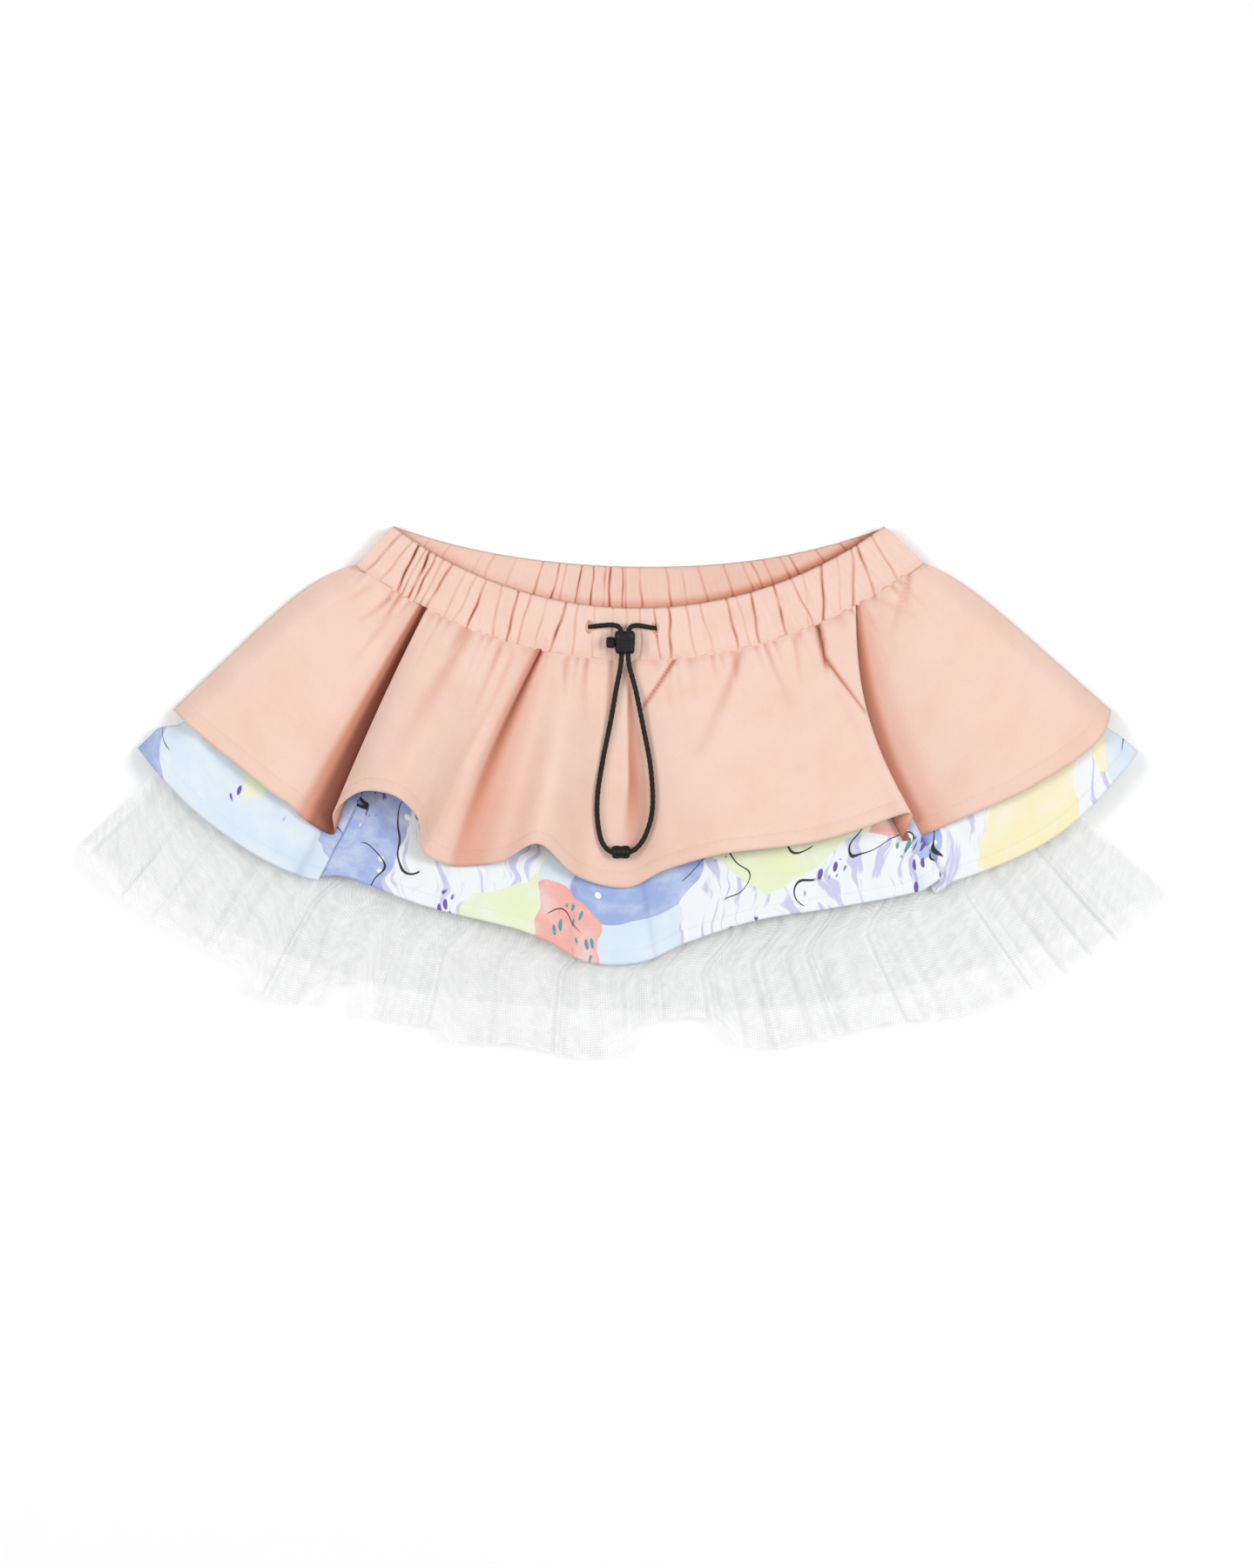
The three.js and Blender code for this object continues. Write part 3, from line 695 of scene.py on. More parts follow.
def braidedCord():
    # the braid's strands are in the mesh: the finish adds their fine yarns
    finish = Finish("braidedCord")
    yarn = finish.noise(finish.solidPlace(), braid["yarn"], 2.0)
    worn = finish.noise(finish.solidPlace(), braid["worn"], 3.0)
    share = worn.step(0.35, 0.75) * 0.6 + yarn * 0.2
    color = finish.mixColor(share, braid["dark"], braid["light"])
    normal = finish.bump(yarn + worn, 0.00015, 0.5)
    finish.set(Base_Color=color, Roughness=0.6 + worn * 0.25, Normal=normal)
    finish.set(Sheen_Weight=0.05, Sheen_Roughness=0.4, Specular_IOR_Level=0.3)
    return finish


plastic = {"grain": 2600, "cloud": 260, "dark": (0.006, 0.006, 0.006), "light": (0.014, 0.013, 0.012)}


def mouldedPlastic():
    finish = Finish("mouldedPlastic")
    grain = finish.noise(finish.solidPlace(), plastic["grain"], 3.0, 0.6)
    cloud = finish.noise(finish.solidPlace(), plastic["cloud"], 2.0)
    color = finish.mixColor(cloud.step(0.35, 0.7), plastic["dark"], plastic["light"])
    finish.set(Base_Color=color, Roughness=0.38 + grain * 0.2, Normal=finish.bump(grain, 0.00008, 0.4))
    finish.set(Specular_IOR_Level=0.25)
    return finish


peachFinish = peachCloth()
printFinish = printedCloth()
netFinish = softNet()
cordFinish = braidedCord()
plasticFinish = mouldedPlastic()
threadFinish = stitchThread()
print("finishes made")


# Drawcord, in metres: out of the left buttonhole, through the lock, round the loop and its end
# stopper, and back through the lock into the right buttonhole.
cordRoute = [
    (-0.0175, 0.0762, 0.0070), (-0.0151, 0.0764, 0.0097), (-0.0110, 0.0768, 0.0100),
    (-0.0066, 0.0770, 0.0110), (-0.0038, 0.0760, 0.0119), (-0.0026, 0.0734, 0.0122),
    (-0.0025, 0.0686, 0.0122), (-0.0025, 0.0627, 0.0122), (-0.0029, 0.0582, 0.0118),
    (-0.0049, 0.0477, 0.0119), (-0.0075, 0.0327, 0.0137), (-0.0111, 0.0147, 0.0160),
    (-0.0136, -0.0023, 0.0171), (-0.0134, -0.0143, 0.0171), (-0.0111, -0.0237, 0.0170),
    (-0.0074, -0.0274, 0.0176), (-0.0028, -0.0276, 0.0176), (0.0018, -0.0274, 0.0176),
    (0.0061, -0.0239, 0.0172), (0.0097, -0.0167, 0.0180), (0.0117, -0.0073, 0.0186),
    (0.0109, 0.0107, 0.0180), (0.0075, 0.0297, 0.0150), (0.0038, 0.0477, 0.0122),
    (0.0010, 0.0582, 0.0118), (0.0005, 0.0627, 0.0122), (0.0005, 0.0686, 0.0122),
    (0.0006, 0.0734, 0.0122), (0.0018, 0.0760, 0.0119), (0.0046, 0.0768, 0.0110),
    (0.0082, 0.0763, 0.0100), (0.0111, 0.0758, 0.0097), (0.0133, 0.0756, 0.0070),
]
cord = {
    "length": 254, "diameter": 2.4, "every": 0.4, "around": 24,
    "strands": 4, "pitch": 5.4, "relief": 0.17,  # its braid
}


def roundRings(rings):
    return [(along, width, width, 2.0) for along, width in rings]


# rings along each plastic part: the way along it, its width, its thickness and how square it is
lock = {
    "middle": (-1.0, 68.9, 12.2),
    "rings": [
        (-3.8, 6.2, 3.2, 3.0), (-5.2, 6.2, 3.2, 3.0), (-5.3, 6.6, 3.8, 3.0), (-5.2, 7.4, 5.4, 3.4),
        (-4.7, 8.3, 6.6, 3.8), (-3.9, 8.8, 7.1, 4.0), (-2.9, 9.1, 7.3, 4.2), (-2.6, 8.7, 6.9, 4.2),
        (-2.3, 9.1, 7.3, 4.2), (-1.3, 9.2, 7.4, 4.2), (-1.0, 8.8, 7.0, 4.2), (-0.7, 9.3, 7.4, 4.2),
        (0.6, 9.4, 7.4, 4.2), (0.9, 8.9, 7.0, 4.2), (1.2, 9.4, 7.4, 4.2), (2.4, 9.4, 7.4, 4.2),
        (3.6, 9.4, 7.3, 4.2), (4.5, 9.0, 6.9, 4.0), (5.1, 8.2, 6.0, 3.6), (5.3, 7.0, 4.4, 3.0),
        (5.2, 6.2, 3.2, 3.0), (3.8, 6.2, 3.2, 3.0),
    ],
}
button = {
    "middle": (-5.0, 68.9, 12.2),
    "rings": roundRings([(0.0, 4.4), (1.0, 4.4), (1.1, 5.0), (1.4, 5.2), (3.4, 5.2), (4.0, 5.0),
                         (4.4, 4.3), (4.6, 3.0), (4.45, 1.6), (4.4, 0.2)]),
    "ribs": 14,
    "ribDepth": 0.09,
    "ribsFrom": 1.2,
}
stopperHalf = [
    (3.0, 3.1), (4.1, 3.2), (4.2, 3.8), (4.0, 4.8), (3.4, 5.6), (2.6, 6.0), (1.1, 6.0), (0.8, 5.6),
]
stopper = {
    "middle": (-2.8, -27.6, 17.6),
    "rings": roundRings([(-along, width) for along, width in stopperHalf] + stopperHalf[::-1]),
}


def evenLine(points, every, samples=3000):
    # a curve through points, cut into even steps
    fine = [throughPoints(points, k / samples) for k in range(samples + 1)]
    lengths = rowLengths(fine)
    count = round(lengths[-1] / every)
    line, i = [], 0
    for k in range(count + 1):
        want = lengths[-1] * k / count
        while i < len(fine) - 2 and lengths[i + 1] < want:
            i += 1
        share = (want - lengths[i]) / (lengths[i + 1] - lengths[i])
        line.append(fine[i].lerp(fine[i + 1], clamp(share)))
    return line


def ringFaces(rings, around, closed=False):
    faces = []
    for k in range(rings if closed else rings - 1):
        for i in range(around):
            a, b = k * around, ((k + 1) % rings) * around
            j = (i + 1) % around
            faces.append((a + i, a + j, b + j, b + i))
    if not closed:
        faces.append(tuple(range(around - 1, -1, -1)))
        faces.append(tuple((rings - 1) * around + i for i in range(around)))
    return faces


def tube(name, line, around, radiusAt, finish, closed=False):
    # rings of points round a line. radiusAt takes the way along in mm and the turn from 0 to 1
    lengths, last = rowLengths(line), len(line) - 1
    side = (line[1] - line[0]).orthogonal().normalized()
    verts = []
    for k, centre in enumerate(line):
        after = (k + 1) % len(line) if closed else min(k + 1, last)
        before = k - 1 if closed else max(k - 1, 0)
        ahead = (line[after] - line[before]).normalized()
        side = (side - ahead * side.dot(ahead)).normalized()
        up = ahead.cross(side)
        for i in range(around):
            turn = 2 * math.pi * i / around
            radius = radiusAt(lengths[k], i / around)
            verts.append(centre + (side * math.cos(turn) + up * math.sin(turn)) * radius)
    return addMesh(name, verts, ringFaces(len(line), around, closed), finish)


def braidRadius(along, turn):
    # two sets of strands wind opposite ways and cross over and under each other
    one = along / cord["pitch"] * 2 + turn * cord["strands"]
    other = along / cord["pitch"] * 2 - turn * cord["strands"]
    over = 0.5 + 0.5 * math.sin(math.pi * (one + other))
    rise = lerp(abs(math.cos(math.pi * one)), abs(math.cos(math.pi * other)), over)
    return cord["diameter"] / 2 * (1 - cord["relief"] * (1 - rise))


def ringedPart(name, part, axis, node, around=64):
    # squarish rings along an axis, for the moulded parts
    middle = Vector(part["middle"])
    ahead = Vector(axis)
    side = Vector((0, 1, 0)) if abs(ahead.x) > 0.5 else Vector((1, 0, 0))
    verts = []
    for along, width, thickness, square in part["rings"]:
        for i in range(around):
            turn = 2 * math.pi * i / around
            c, s = math.cos(turn), math.sin(turn)
            rib = 1.0
            if along > part.get("ribsFrom", math.inf):
                rib -= part["ribDepth"] * (0.5 + 0.5 * math.cos(turn * part["ribs"]))
            reach = rib / (abs(c) ** square + abs(s) ** square) ** (1 / square)
            across = side * (c * reach * width / 2) + Vector((0, 0, s * reach * thickness / 2))
            verts.append(middle + ahead * along + across)
    piece = addMesh(name, verts, ringFaces(len(part["rings"]), around), plasticFinish)
    dress(piece, node)
    return piece


def makeCord():
    line = evenLine([Vector(p) / mm for p in cordRoute], cord["every"])
    piece = tube("braidedDrawcord", line, cord["around"], braidRadius, cordFinish)
    dress(piece, "drawcord")
    onIt = [
        ringedPart("cordLockBody", lock, (0, 1, 0), "cord_lock_body"),
        ringedPart("cordLockButton", button, (-1, 0, 0), "cord_lock_button"),
        ringedPart("cordStopperBead", stopper, (1, 0, 0), "cord_stopper"),
    ]
    [tuple(p * mm) for p in line]


makeCord()
print("drawcord, lock and stopper")


# Outer tier, front. Each fold line runs from the waist seam to the hem: its angle at the seam and
# at the hem, how early it reaches the second, the hem's radius there, the hem's lift, how early
# the fold stands up to that lift, and how much painted shade darkens the cloth there at the seam and at
# the hem.
outerFront = {
    "folds": [
        (-43.0, -46.3, 7.0, 288.5, 0.0, 1.5),  # left edge
        (-37.4, -38.2, 1.0, 287.0, 2.8, 1.5),  # left panel
        (-33.8, -34.0, 1.0, 288.0, 3.0, 1.5),
        (-32.5, -32.2, 1.0, 288.2, 2.0, 1.5, 0.25, 0.05),
        (-31.8, -30.8, 1.0, 290.0, 0.6, 1.5, 1.5, 0.75),
        (-31.3, -29.6, 1.0, 290.6, -0.1, 1.5, 2.0, 1.5),
        (-31.0, -27.9, 1.0, 290.5, -0.5, 1.5, 2.0, 1.85),  # left valley
        (-30.6, -28.4, 1.0, 280.0, 7.4, 3.4),  # first flute, its edge hangs over the valley
        (-28.8, -26.3, 1.0, 264.0, 20.5, 1.6),
        (-25.5, -23.7, 1.0, 261.0, 24.0, 1.5),  # its crown
        (-21.5, -21.0, 1.0, 265.5, 18.5, 1.5),
        (-17.0, -19.0, 1.0, 281.0, 6.6, 2.0),
        (-14.2, -17.8, 2.4, 282.4, 4.2, 3.0, 0.2, 0.0),
        (-12.9, -16.9, 2.4, 282.6, 2.4, 5.0, 1.1, 0.0),  # second fold
        (-12.6, -16.0, 2.4, 282.4, 0.2, 1.5, 2.0, 0.6),
        (-11.8, -14.2, 2.0, 279.5, 1.6, 1.5, 0.3, 0.6),
        (-10.6, -12.0, 1.0, 275.5, 4.4, 1.5, 0.0, 0.2),
        (-7.5, -8.6, 1.0, 264.0, 13.0, 1.5),  # crown of the second flute
        (-3.2, -3.9, 1.0, 278.0, 3.4, 1.5),
        (0.6, 0.0, 1.0, 281.5, 0.2, 1.5),  # centre valley
        (4.0, 4.2, 1.0, 273.5, 4.0, 1.5),
        (11.0, 10.0, 1.0, 269.5, 9.0, 1.5),  # crown of the broad flute
        (23.0, 19.5, 1.6, 275.0, 8.4, 1.5),
        (35.2, 27.7, 3.0, 279.0, 7.0, 3.4),  # right fold, which turns under
        (35.4, 26.4, 3.0, 290.0, 0.6, 1.5, 1.9, 1.6),
        (35.6, 28.2, 2.7, 291.6, -0.3, 1.5, 1.2, 1.0),  # right valley
        (36.2, 29.6, 2.4, 292.6, -0.1, 1.5, 0.45, 0.45),
        (37.4, 32.6, 2.0, 294.6, 0.9, 1.5, 0.08, 0.05),
        (39.5, 38.5, 1.0, 300.5, 2.6, 1.5),  # right panel
        (43.6, 45.6, 3.0, 305.5, 1.0, 1.5),
        (46.3, 48.4, 7.0, 301.0, 0.0, 1.5),  # right edge
    ],
    "rows": 64,
    "rowPower": 1.12,  # above 1, the rows lie closer at the seam
    "pointEvery": 1.1,
    "tucked": 1.7,
    "seamDrop": (1.3, 1.6),  # how far it goes down into the seam, and the way that this takes
    "thick": 0.5,
    "flat": (0.50, 0.112),
    "area": 0.0465,
    # start and end as (angle, radius), half width and depth of each crease
    "creases": [
        ((-24.5, 181), (-25.2, 246), 4.6, 1.5),
        ((-18.6, 181), (-19.0, 214), 2.2, 0.9),
        ((-16.3, 180), (-18.5, 238), 2.6, 0.8),
        ((-9.0, 179), (-8.0, 196), 1.8, 0.8),
        ((-5.8, 179), (-4.9, 206), 2.4, 0.7),
        ((7.3, 179), (2.6, 196), 0.9, 1.5),
        ((1.0, 192), (1.2, 246), 1.6, 1.0),
        ((2.6, 196), (2.4, 262), 4.2, 0.8),
        ((29.4, 182), (27.9, 199), 1.1, 1.8),
        ((27.9, 199), (28.8, 224), 0.8, 1.6),
        ((5.4, 181), (6.0, 199), 1.8, 0.6),
        ((16.9, 182), (10.0, 217), 2.4, 1.3),
        ((20.8, 183), (21.2, 208), 3.2, 0.7),
        ((25.0, 185), (23.6, 202), 2.0, 0.8),
        ((38.0, 188), (40.4, 205), 2.0, 1.2),
        ((44.2, 189), (40.8, 198), 1.3, 1.1),
        ((36.2, 188), (34.0, 216), 1.8, 0.8),
        ((-36.2, 184), (-37.6, 199), 1.8, 1.1),
        ((-34.2, 183), (-35.2, 214), 2.3, 1.0),
        ((-39.5, 185), (-41.2, 199), 2.2, 0.9),
        ((-36.5, 226), (-39.0, 286), 9.0, -0.6),
        ((35.5, 240), (41.5, 296), 10.0, -0.7),
    ],
    "pucker": {"deep": 0.6, "fade": 8.0, "every": 2.15},
    "ripple": 0.32,
    # painted shade along the smaller creases, at each one's start and end: the place, how far it
    # reaches to the left and to the right in mm, and how dark it is
    "shades": [
        ((-23.6, 180), (-25.6, 246), (1.5, 4.5), (1.6, 6.5), (0.52, 0.16)),
        ((0.45, 190), (0.6, 232), (0.4, 0.6), (2.4, 6.0), (0.7, 1.2)),
        ((0.6, 232), (0.8, 272), (0.6, 6.0), (6.0, 14.0), (1.2, 0.15)),
        ((7.4, 178), (2.6, 198), (0.9, 0.8), (1.0, 0.9), (1.7, 1.1)),
        ((16.9, 183), (9.2, 220), (1.4, 3.4), (1.4, 2.6), (0.55, 0.15)),
        ((29.4, 181), (27.7, 199), (1.8, 1.3), (1.3, 0.9), (2.0, 1.8)),
        ((27.7, 199), (28.8, 227), (0.7, 0.6), (0.9, 0.7), (1.6, 0.9)),
        ((44.2, 189), (40.8, 199), (1.0, 1.4), (1.2, 1.8), (0.8, 0.25)),
        ((43.4, 190), (37.0, 205), (1.0, 2.2), (1.4, 3.0), (0.5, 0.15)),
        ((-2.1, 180), (-2.3, 207), (1.2, 1.6), (1.6, 2.4), (0.6, 0.15)),
        ((-35.2, 181), (-35.0, 196), (0.9, 1.6), (0.9, 1.6), (0.9, 0.1)),
    ],
}


def seamPuckers(angle, fromSeam, pucker):
    # small gathers where the cloth is sewn into the band, which fade out downwards
    swing = math.sin(math.radians(360 / pucker["every"]) * angle + 2.4 * math.sin(angle * 0.9))
    return pucker["deep"] * math.exp(-fromSeam / pucker["fade"]) * swing


# the cloth's own unevenness, broad and small: how wide and how long it is in mm, its salt and share
ripples = [(26, 60, 0, 1.0), (9, 24, 5, 0.45)]


def ripple(angle, radius, salt):
    across = math.radians(angle) * radius
    return sum(share * noise.noise(Vector((across / wide, radius / long, salt + own)))
               for wide, long, own, share in ripples)


def foldedGrid(piece, heightAt):
    # rows of points on the fan, through the piece's own fold lines, and the painted shade at each point
    folds, rows = piece["folds"], piece["rows"]
    spans = len(folds) - 1
    hem = [place(fold[1], fold[3], fold[4]) for fold in folds]
    shares = [0.0]
    for i in range(spans):
        steps = max(5, round((hem[i + 1] - hem[i]).length / piece["pointEvery"]))
        shares += [(i + (k + 1) / steps) / spans for k in range(steps)]
    grid, foldShades = [], []
    for j in range(rows + 1):
        down = (j / rows) ** piece["rowPower"]
        line, foldShadeRow = [], []
        for start, end, ease, reach, lift, early, *dark in folds:
            angle = lerp(start, end, 1 - (1 - down) ** ease)
            radius = lerp(seamRadius("front", start) - piece["tucked"], reach, down)
            line.append(Vector((angle, radius, lift * (1 - (1 - down) ** early))))
            foldShadeRow.append(lerp(*dark, down) if dark else 0.0)
        points = [throughPoints(line, share) for share in shares]
        grid.append([place(p.x, p.y, heightAt(p.x, p.y, p.z)) for p in points])
        for share in shares:
            i = min(int(share * spans), spans - 1)
            foldShades.append(lerp(foldShadeRow[i], foldShadeRow[i + 1], smooth(share * spans - i, 0, 1)))
    return grid, foldShades


def outerFrontHeight(angle, radius, lift):
    clear = shoulder("outer", angle, radius)
    fromSeam = radius - seamRadius("front", angle)
    form = restingHeight("outer", angle, radius) + printLift(angle, radius) + lift
    drop, way = outerFront["seamDrop"]
    form -= drop * clear * (1 - smooth(fromSeam, -outerFront["tucked"], way))
    fine = creaseHeight(outerFront["creases"], angle, radius)
    fine += seamPuckers(angle, max(fromSeam, 0), outerFront["pucker"])
    fine += outerFront["ripple"] * ripple(angle, radius, 1.0) * smooth(fromSeam, 0, 25)
    return form + fine * clear


shadeEnd = 4.0  # how far a shade goes on past its ends, in mm


def shadesAt(shades, point):
    # the darkest painted shade of the lines at a point, sharp on one side and soft on the other
    angle, radius = fanOf(point)
    x, y, value = math.radians(angle) * radius, radius, 0.0
    for start, end, reachLeft, reachRight, dark in shades:
        ax, ay = math.radians(start[0]) * start[1], start[1]
        bx, by = math.radians(end[0]) * end[1], end[1]
        long = math.hypot(bx - ax, by - ay)
        along = ((x - ax) * (bx - ax) + (y - ay) * (by - ay)) / long
        side = ((x - ax) * (by - ay) - (y - ay) * (bx - ax)) / long
        t = clamp(along / long)
        over = max(-along, along - long, 0.0)
        away = math.hypot(side / lerp(*(reachLeft if side < 0 else reachRight), t), over / shadeEnd)
        if away < 3:
            value = max(value, lerp(*dark, t) * math.exp(-away * away))
    return value


def makeOuterFront():
    grid, foldShades = foldedGrid(outerFront, outerFrontHeight)
    shades = [shadesAt(outerFront["shades"], point) for row in grid for point in row]
    # painted shade: the darkest of the crease shade, the fold shade and the shade lines
    hollow = [max(values) for values in zip(creaseShadeOf(grid), foldShades, shades)]
    layCloth("outerFrontCloth", "outer_front", peachFinish, outerFront, grid,
             hollow)


makeOuterFront()
print("outer tier, front")


# Printed tier, front. Near the outer tier's two deep valleys it has folds too, pressed flat.
printFront = {
    "rows": [0, 0.12, 0.3, 0.5, 0.66, 0.78],
    "fineRows": 26,
    "columns": 660,
    "thick": 0.45,
    "flat": (0.55, 0.14),
    "area": 0.062,
    # pressed folds whose left side laps over the right: angle, half width, rise and the step at the hem
    "laps": [(-27.5, 7.0, 2.6, -1.5), (27.3, 7.5, 2.0, -2.0)],
    "creases": [
        ((-31.6, 262), (-32.4, 317), 4.0, -0.5),
        ((-23.6, 270), (-24.0, 317), 3.0, 0.6),
        ((-16.5, 270), (-16.8, 305), 2.2, 0.9),
        ((-13.8, 270), (-14.2, 306), 2.8, -0.5),
        ((-4.4, 270), (-4.8, 312), 2.0, 0.7),
        ((1.4, 270), (2.6, 314), 1.8, 0.9),
        ((4.2, 270), (5.2, 309), 3.0, -0.4),
        ((17.4, 270), (18.1, 306), 2.8, 0.5),
        ((23.2, 270), (23.2, 318), 2.4, -0.6),
        ((31.2, 270), (31.8, 320), 3.2, 0.5),
        ((38.0, 290), (39.4, 326), 5.0, -0.5),
    ],
    "ripple": 0.4,
    "fineFrom": (255, 275),  # the radius where creases and ripples begin, under the outer tier's hem
}
# a lap grows between two shares of the way down, and its step shows past the second of them.
# The swing of its curve is divided by its peak, and the side that lies under moves down less.
lap = {"grows": (0.3, 0.75), "peak": 0.286, "underSide": 0.4, "foldBack": 3}
farOut = 400.0  # a radius past every hem


def tierGrid(tier, seamOf, hemOf, downs, shares, heightAt):
    # rows of points from a seam to a hem, between the tier's two side folds. heightAt takes the
    # angle, the radius and the point's number along the row
    seamSides = [sideAngle(tier, side, sides[side]["start"]) for side in ("left", "right")]
    hemSides = [sideAngle(tier, side, farOut) for side in ("left", "right")]
    grid = []
    for down in downs:
        row = []
        for i, share in enumerate(shares):
            seam = seamOf(lerp(*seamSides, share))
            radius = lerp(seam, hemOf(lerp(*hemSides, share)), down)
            angle = lerp(sideAngle(tier, "left", radius), sideAngle(tier, "right", radius), share)
            row.append(place(angle, radius, heightAt(angle, radius, i)))
        grid.append(row)
    return grid


def evenShares(count):
    return [i / count for i in range(count + 1)]


def fineDowns(coarse, count):
    return coarse + [lerp(coarse[-1], 1, (k + 1) / count) for k in range(count)]


def frontSeam(angle):
    return seamRadius("front", angle)


def backSeam(angle):
    return seamRadius("back", angle)


def printFrontHeight(angle, radius, _):
    form = restingHeight("print", angle, radius) + printLift(angle, radius)
    fine = creaseHeight(printFront["creases"], angle, radius)
    fine += printFront["ripple"] * ripple(angle, radius, 4.0)
    return form + fine * shoulder("print", angle, radius) * smooth(radius, *printFront["fineFrom"])


def lapped(point, down):
    # folds the cloth back under itself and forward again beside each lap's line
    angle, radius = fanOf(point)
    for at, halfWidth, rise, step in printFront["laps"]:
        u = math.radians(angle - at) * radius / halfWidth
        if abs(u) < 1:
            grown = smooth(down, *lap["grows"])
            turn = (1 - u * u) ** 2
            swing = turn * u / lap["peak"]
            shifted = halfWidth * u * (1 - lap["foldBack"] * grown * turn)
            lift = -rise * grown * swing * (1.0 if u < 0 else lap["underSide"])
            reach = -step * grown * swing * smooth(down, lap["grows"][1], 1.0)
            return place(at + math.degrees(shifted / radius), radius + reach, point.z + lift)
    return point


def makePrintFront():
    downs = fineDowns(printFront["rows"], printFront["fineRows"])
    grid = tierGrid("print", frontSeam, curveOf(printHem, "reach"), downs,
                    evenShares(printFront["columns"]), printFrontHeight)
    grid = [[lapped(point, down) for point in row] for row, down in zip(grid, downs)]
    layCloth("printFrontCloth", "print_front", printFinish, printFront, grid)


makePrintFront()
print("printed tier, front")


# Net tier. Its pleats are all of different widths, lean over a little and stand up towards the hem.
# Each half lies under the hem that "edge" names, and "release" is how far past it the net comes free.
netFront = {
    "edge": (printHem, "reach"),
    "release": (0, 40),
    "hem": named("angle reach", [
        (-44.1, 362.5), (-40.0, 368.0), (-28.4, 364.0), (-27.2, 370.5), (-23.8, 366.5),
        (-22.2, 351.5), (-20.6, 349.0), (-19.6, 359.5), (-14.0, 357.0), (-12.6, 361.0),
        (-7.5, 357.0), (-5.0, 359.0), (-0.2, 359.0), (0.9, 346.0), (7.0, 344.0),
        (9.4, 360.0), (19.0, 364.0), (27.0, 377.0), (42.4, 382.0),
    ]),
    "pleats": 50,
    "pointsPerPleat": 12,
    "rows": [0, 0.2, 0.4, 0.52, 0.6],
    "fineRows": 26,
    "covered": 0.8,
    "open": 2.0,
    "lean": 0.3,
    "jag": 1.8,
    "flat": (0.56, 0.18),
    "salt": 1,
}
netBack = {
    "edge": (backHems, "print"),
    "release": (3, 17),
    "rest": (3.5, 0.5),  # its height under the printed back and clear of it
    "pleats": 46,
    "pointsPerPleat": 8,
    "rows": [0, 0.3, 0.55, 0.66],
    "fineRows": 20,
    "covered": 0.0,
    "open": 1.8,
    "lean": 0.2,
    "jag": 1.8,
    "flat": (0.55, 0.18),
    "salt": 2,
}
pleat = {"widths": (0.4, 1.6), "heights": (0.3, 0.9), "ripple": 0.35, "roundness": 0.8}


def pleatTable(piece):
    # each pleat's start and width as shares of the whole, how high it stands and how far it leans
    widths = [lerp(*pleat["widths"], seeded(k, piece["salt"])) for k in range(piece["pleats"])]
    total, at, table = sum(widths), 0.0, []
    for k, width in enumerate(widths):
        high = lerp(*pleat["heights"], seeded(k, piece["salt"] + 3))
        lean = piece["lean"] * (2 * seeded(k, piece["salt"] + 6) - 1)
        table.append((at / total, width / total, high, lean))
        at += width
    return table


def pleatShares(piece, table):
    count = piece["pointsPerPleat"]
    return [start + width * i / count for start, width, _, _ in table for i in range(count)] + [1.0]


def pleatRise(table, index, count):
    # from 0 in the creases to twice the pleat's height at its crown
    high = table[min(index // count, len(table) - 1)][2]
    swing = 0.5 - 0.5 * math.cos(2 * math.pi * (index % count) / count)
    return 2 * high * swing ** pleat["roundness"]


def netFreed(piece, angle, radius):
    # 0 under the printed tier and 1 clear of it
    return smooth(radius - readTable(*piece["edge"], angle), *piece["release"])


def netRise(piece, angle, radius):
    # how far the pleats stand up at a place
    puff = clamp((radius - frontSeam(angle)) / puffLength)
    return lerp(piece["covered"] * puff, piece["open"], netFreed(piece, angle, radius))


def netGrid(piece, seamOf, hemOf, restAt):
    table, count = pleatTable(piece), piece["pointsPerPleat"]
    shares = pleatShares(piece, table)
    downs = fineDowns(piece["rows"], piece["fineRows"])

    def hem(angle):
        return hemOf(angle) + piece["jag"] * noise.noise(Vector((angle * 0.9, piece["salt"], 0)))

    def height(angle, radius, i):
        soft = pleat["ripple"] * ripple(angle, radius, 8.0 + piece["salt"])
        high = netRise(piece, angle, radius) * (pleatRise(table, i, count) + soft)
        return restAt(angle, radius) + high * shoulder("net", angle, radius)

    grid = tierGrid("net", seamOf, hem, downs, shares, height)
    leant = []
    for row in grid:  # lean each pleat over sideways by a share of its own width
        across = row[-1] - row[0]
        flatWide = math.hypot(across.x, across.y)
        line = [row[0]]
        for i in range(1, len(row) - 1):
            _, width, _, lean = table[min(i // count, len(table) - 1)]
            along = row[i + 1] - row[i - 1]
            along.z = 0
            swing = math.sin(math.pi * (i % count) / count)
            over = lean * width * flatWide * swing * netFreed(piece, *fanOf(row[i]))
            line.append(row[i] + along.normalized() * over)
        leant.append(line + [row[-1]])
    return leant


def netFrontRest(angle, radius):
    return restingHeight("net", angle, radius)


def netBackRest(angle, radius):
    return lerp(*netBack["rest"], netFreed(netBack, angle, radius))


def makeNet(name, node, piece, seamOf, hemOf, restAt):
    grid = netGrid(piece, seamOf, hemOf, restAt)
    sheet = clothSheet(name, grid, netFinish)
    dress(sheet, node)


makeNet("netFrontCloth", "net_front", netFront, frontSeam, curveOf(netFront["hem"], "reach"),
        netFrontRest)
makeNet("netBackCloth", "net_back", netBack, backSeam, curveOf(backHems, "net"),
        netBackRest)
print("net tier")


# Backs of the two cloth tiers, which lie flat on the floor
backs = {
    "outer": {"rows": 26, "thick": 1.2, "over": 0.0, "flat": (0.49, 0.108), "area": 0.044},
    "print": {"rows": 30, "thick": 1.2, "over": 1.5, "flat": (0.52, 0.136), "area": 0.056},
}
backColumns = 150
backSettles = (4, 14)  # past the outer tier's hem


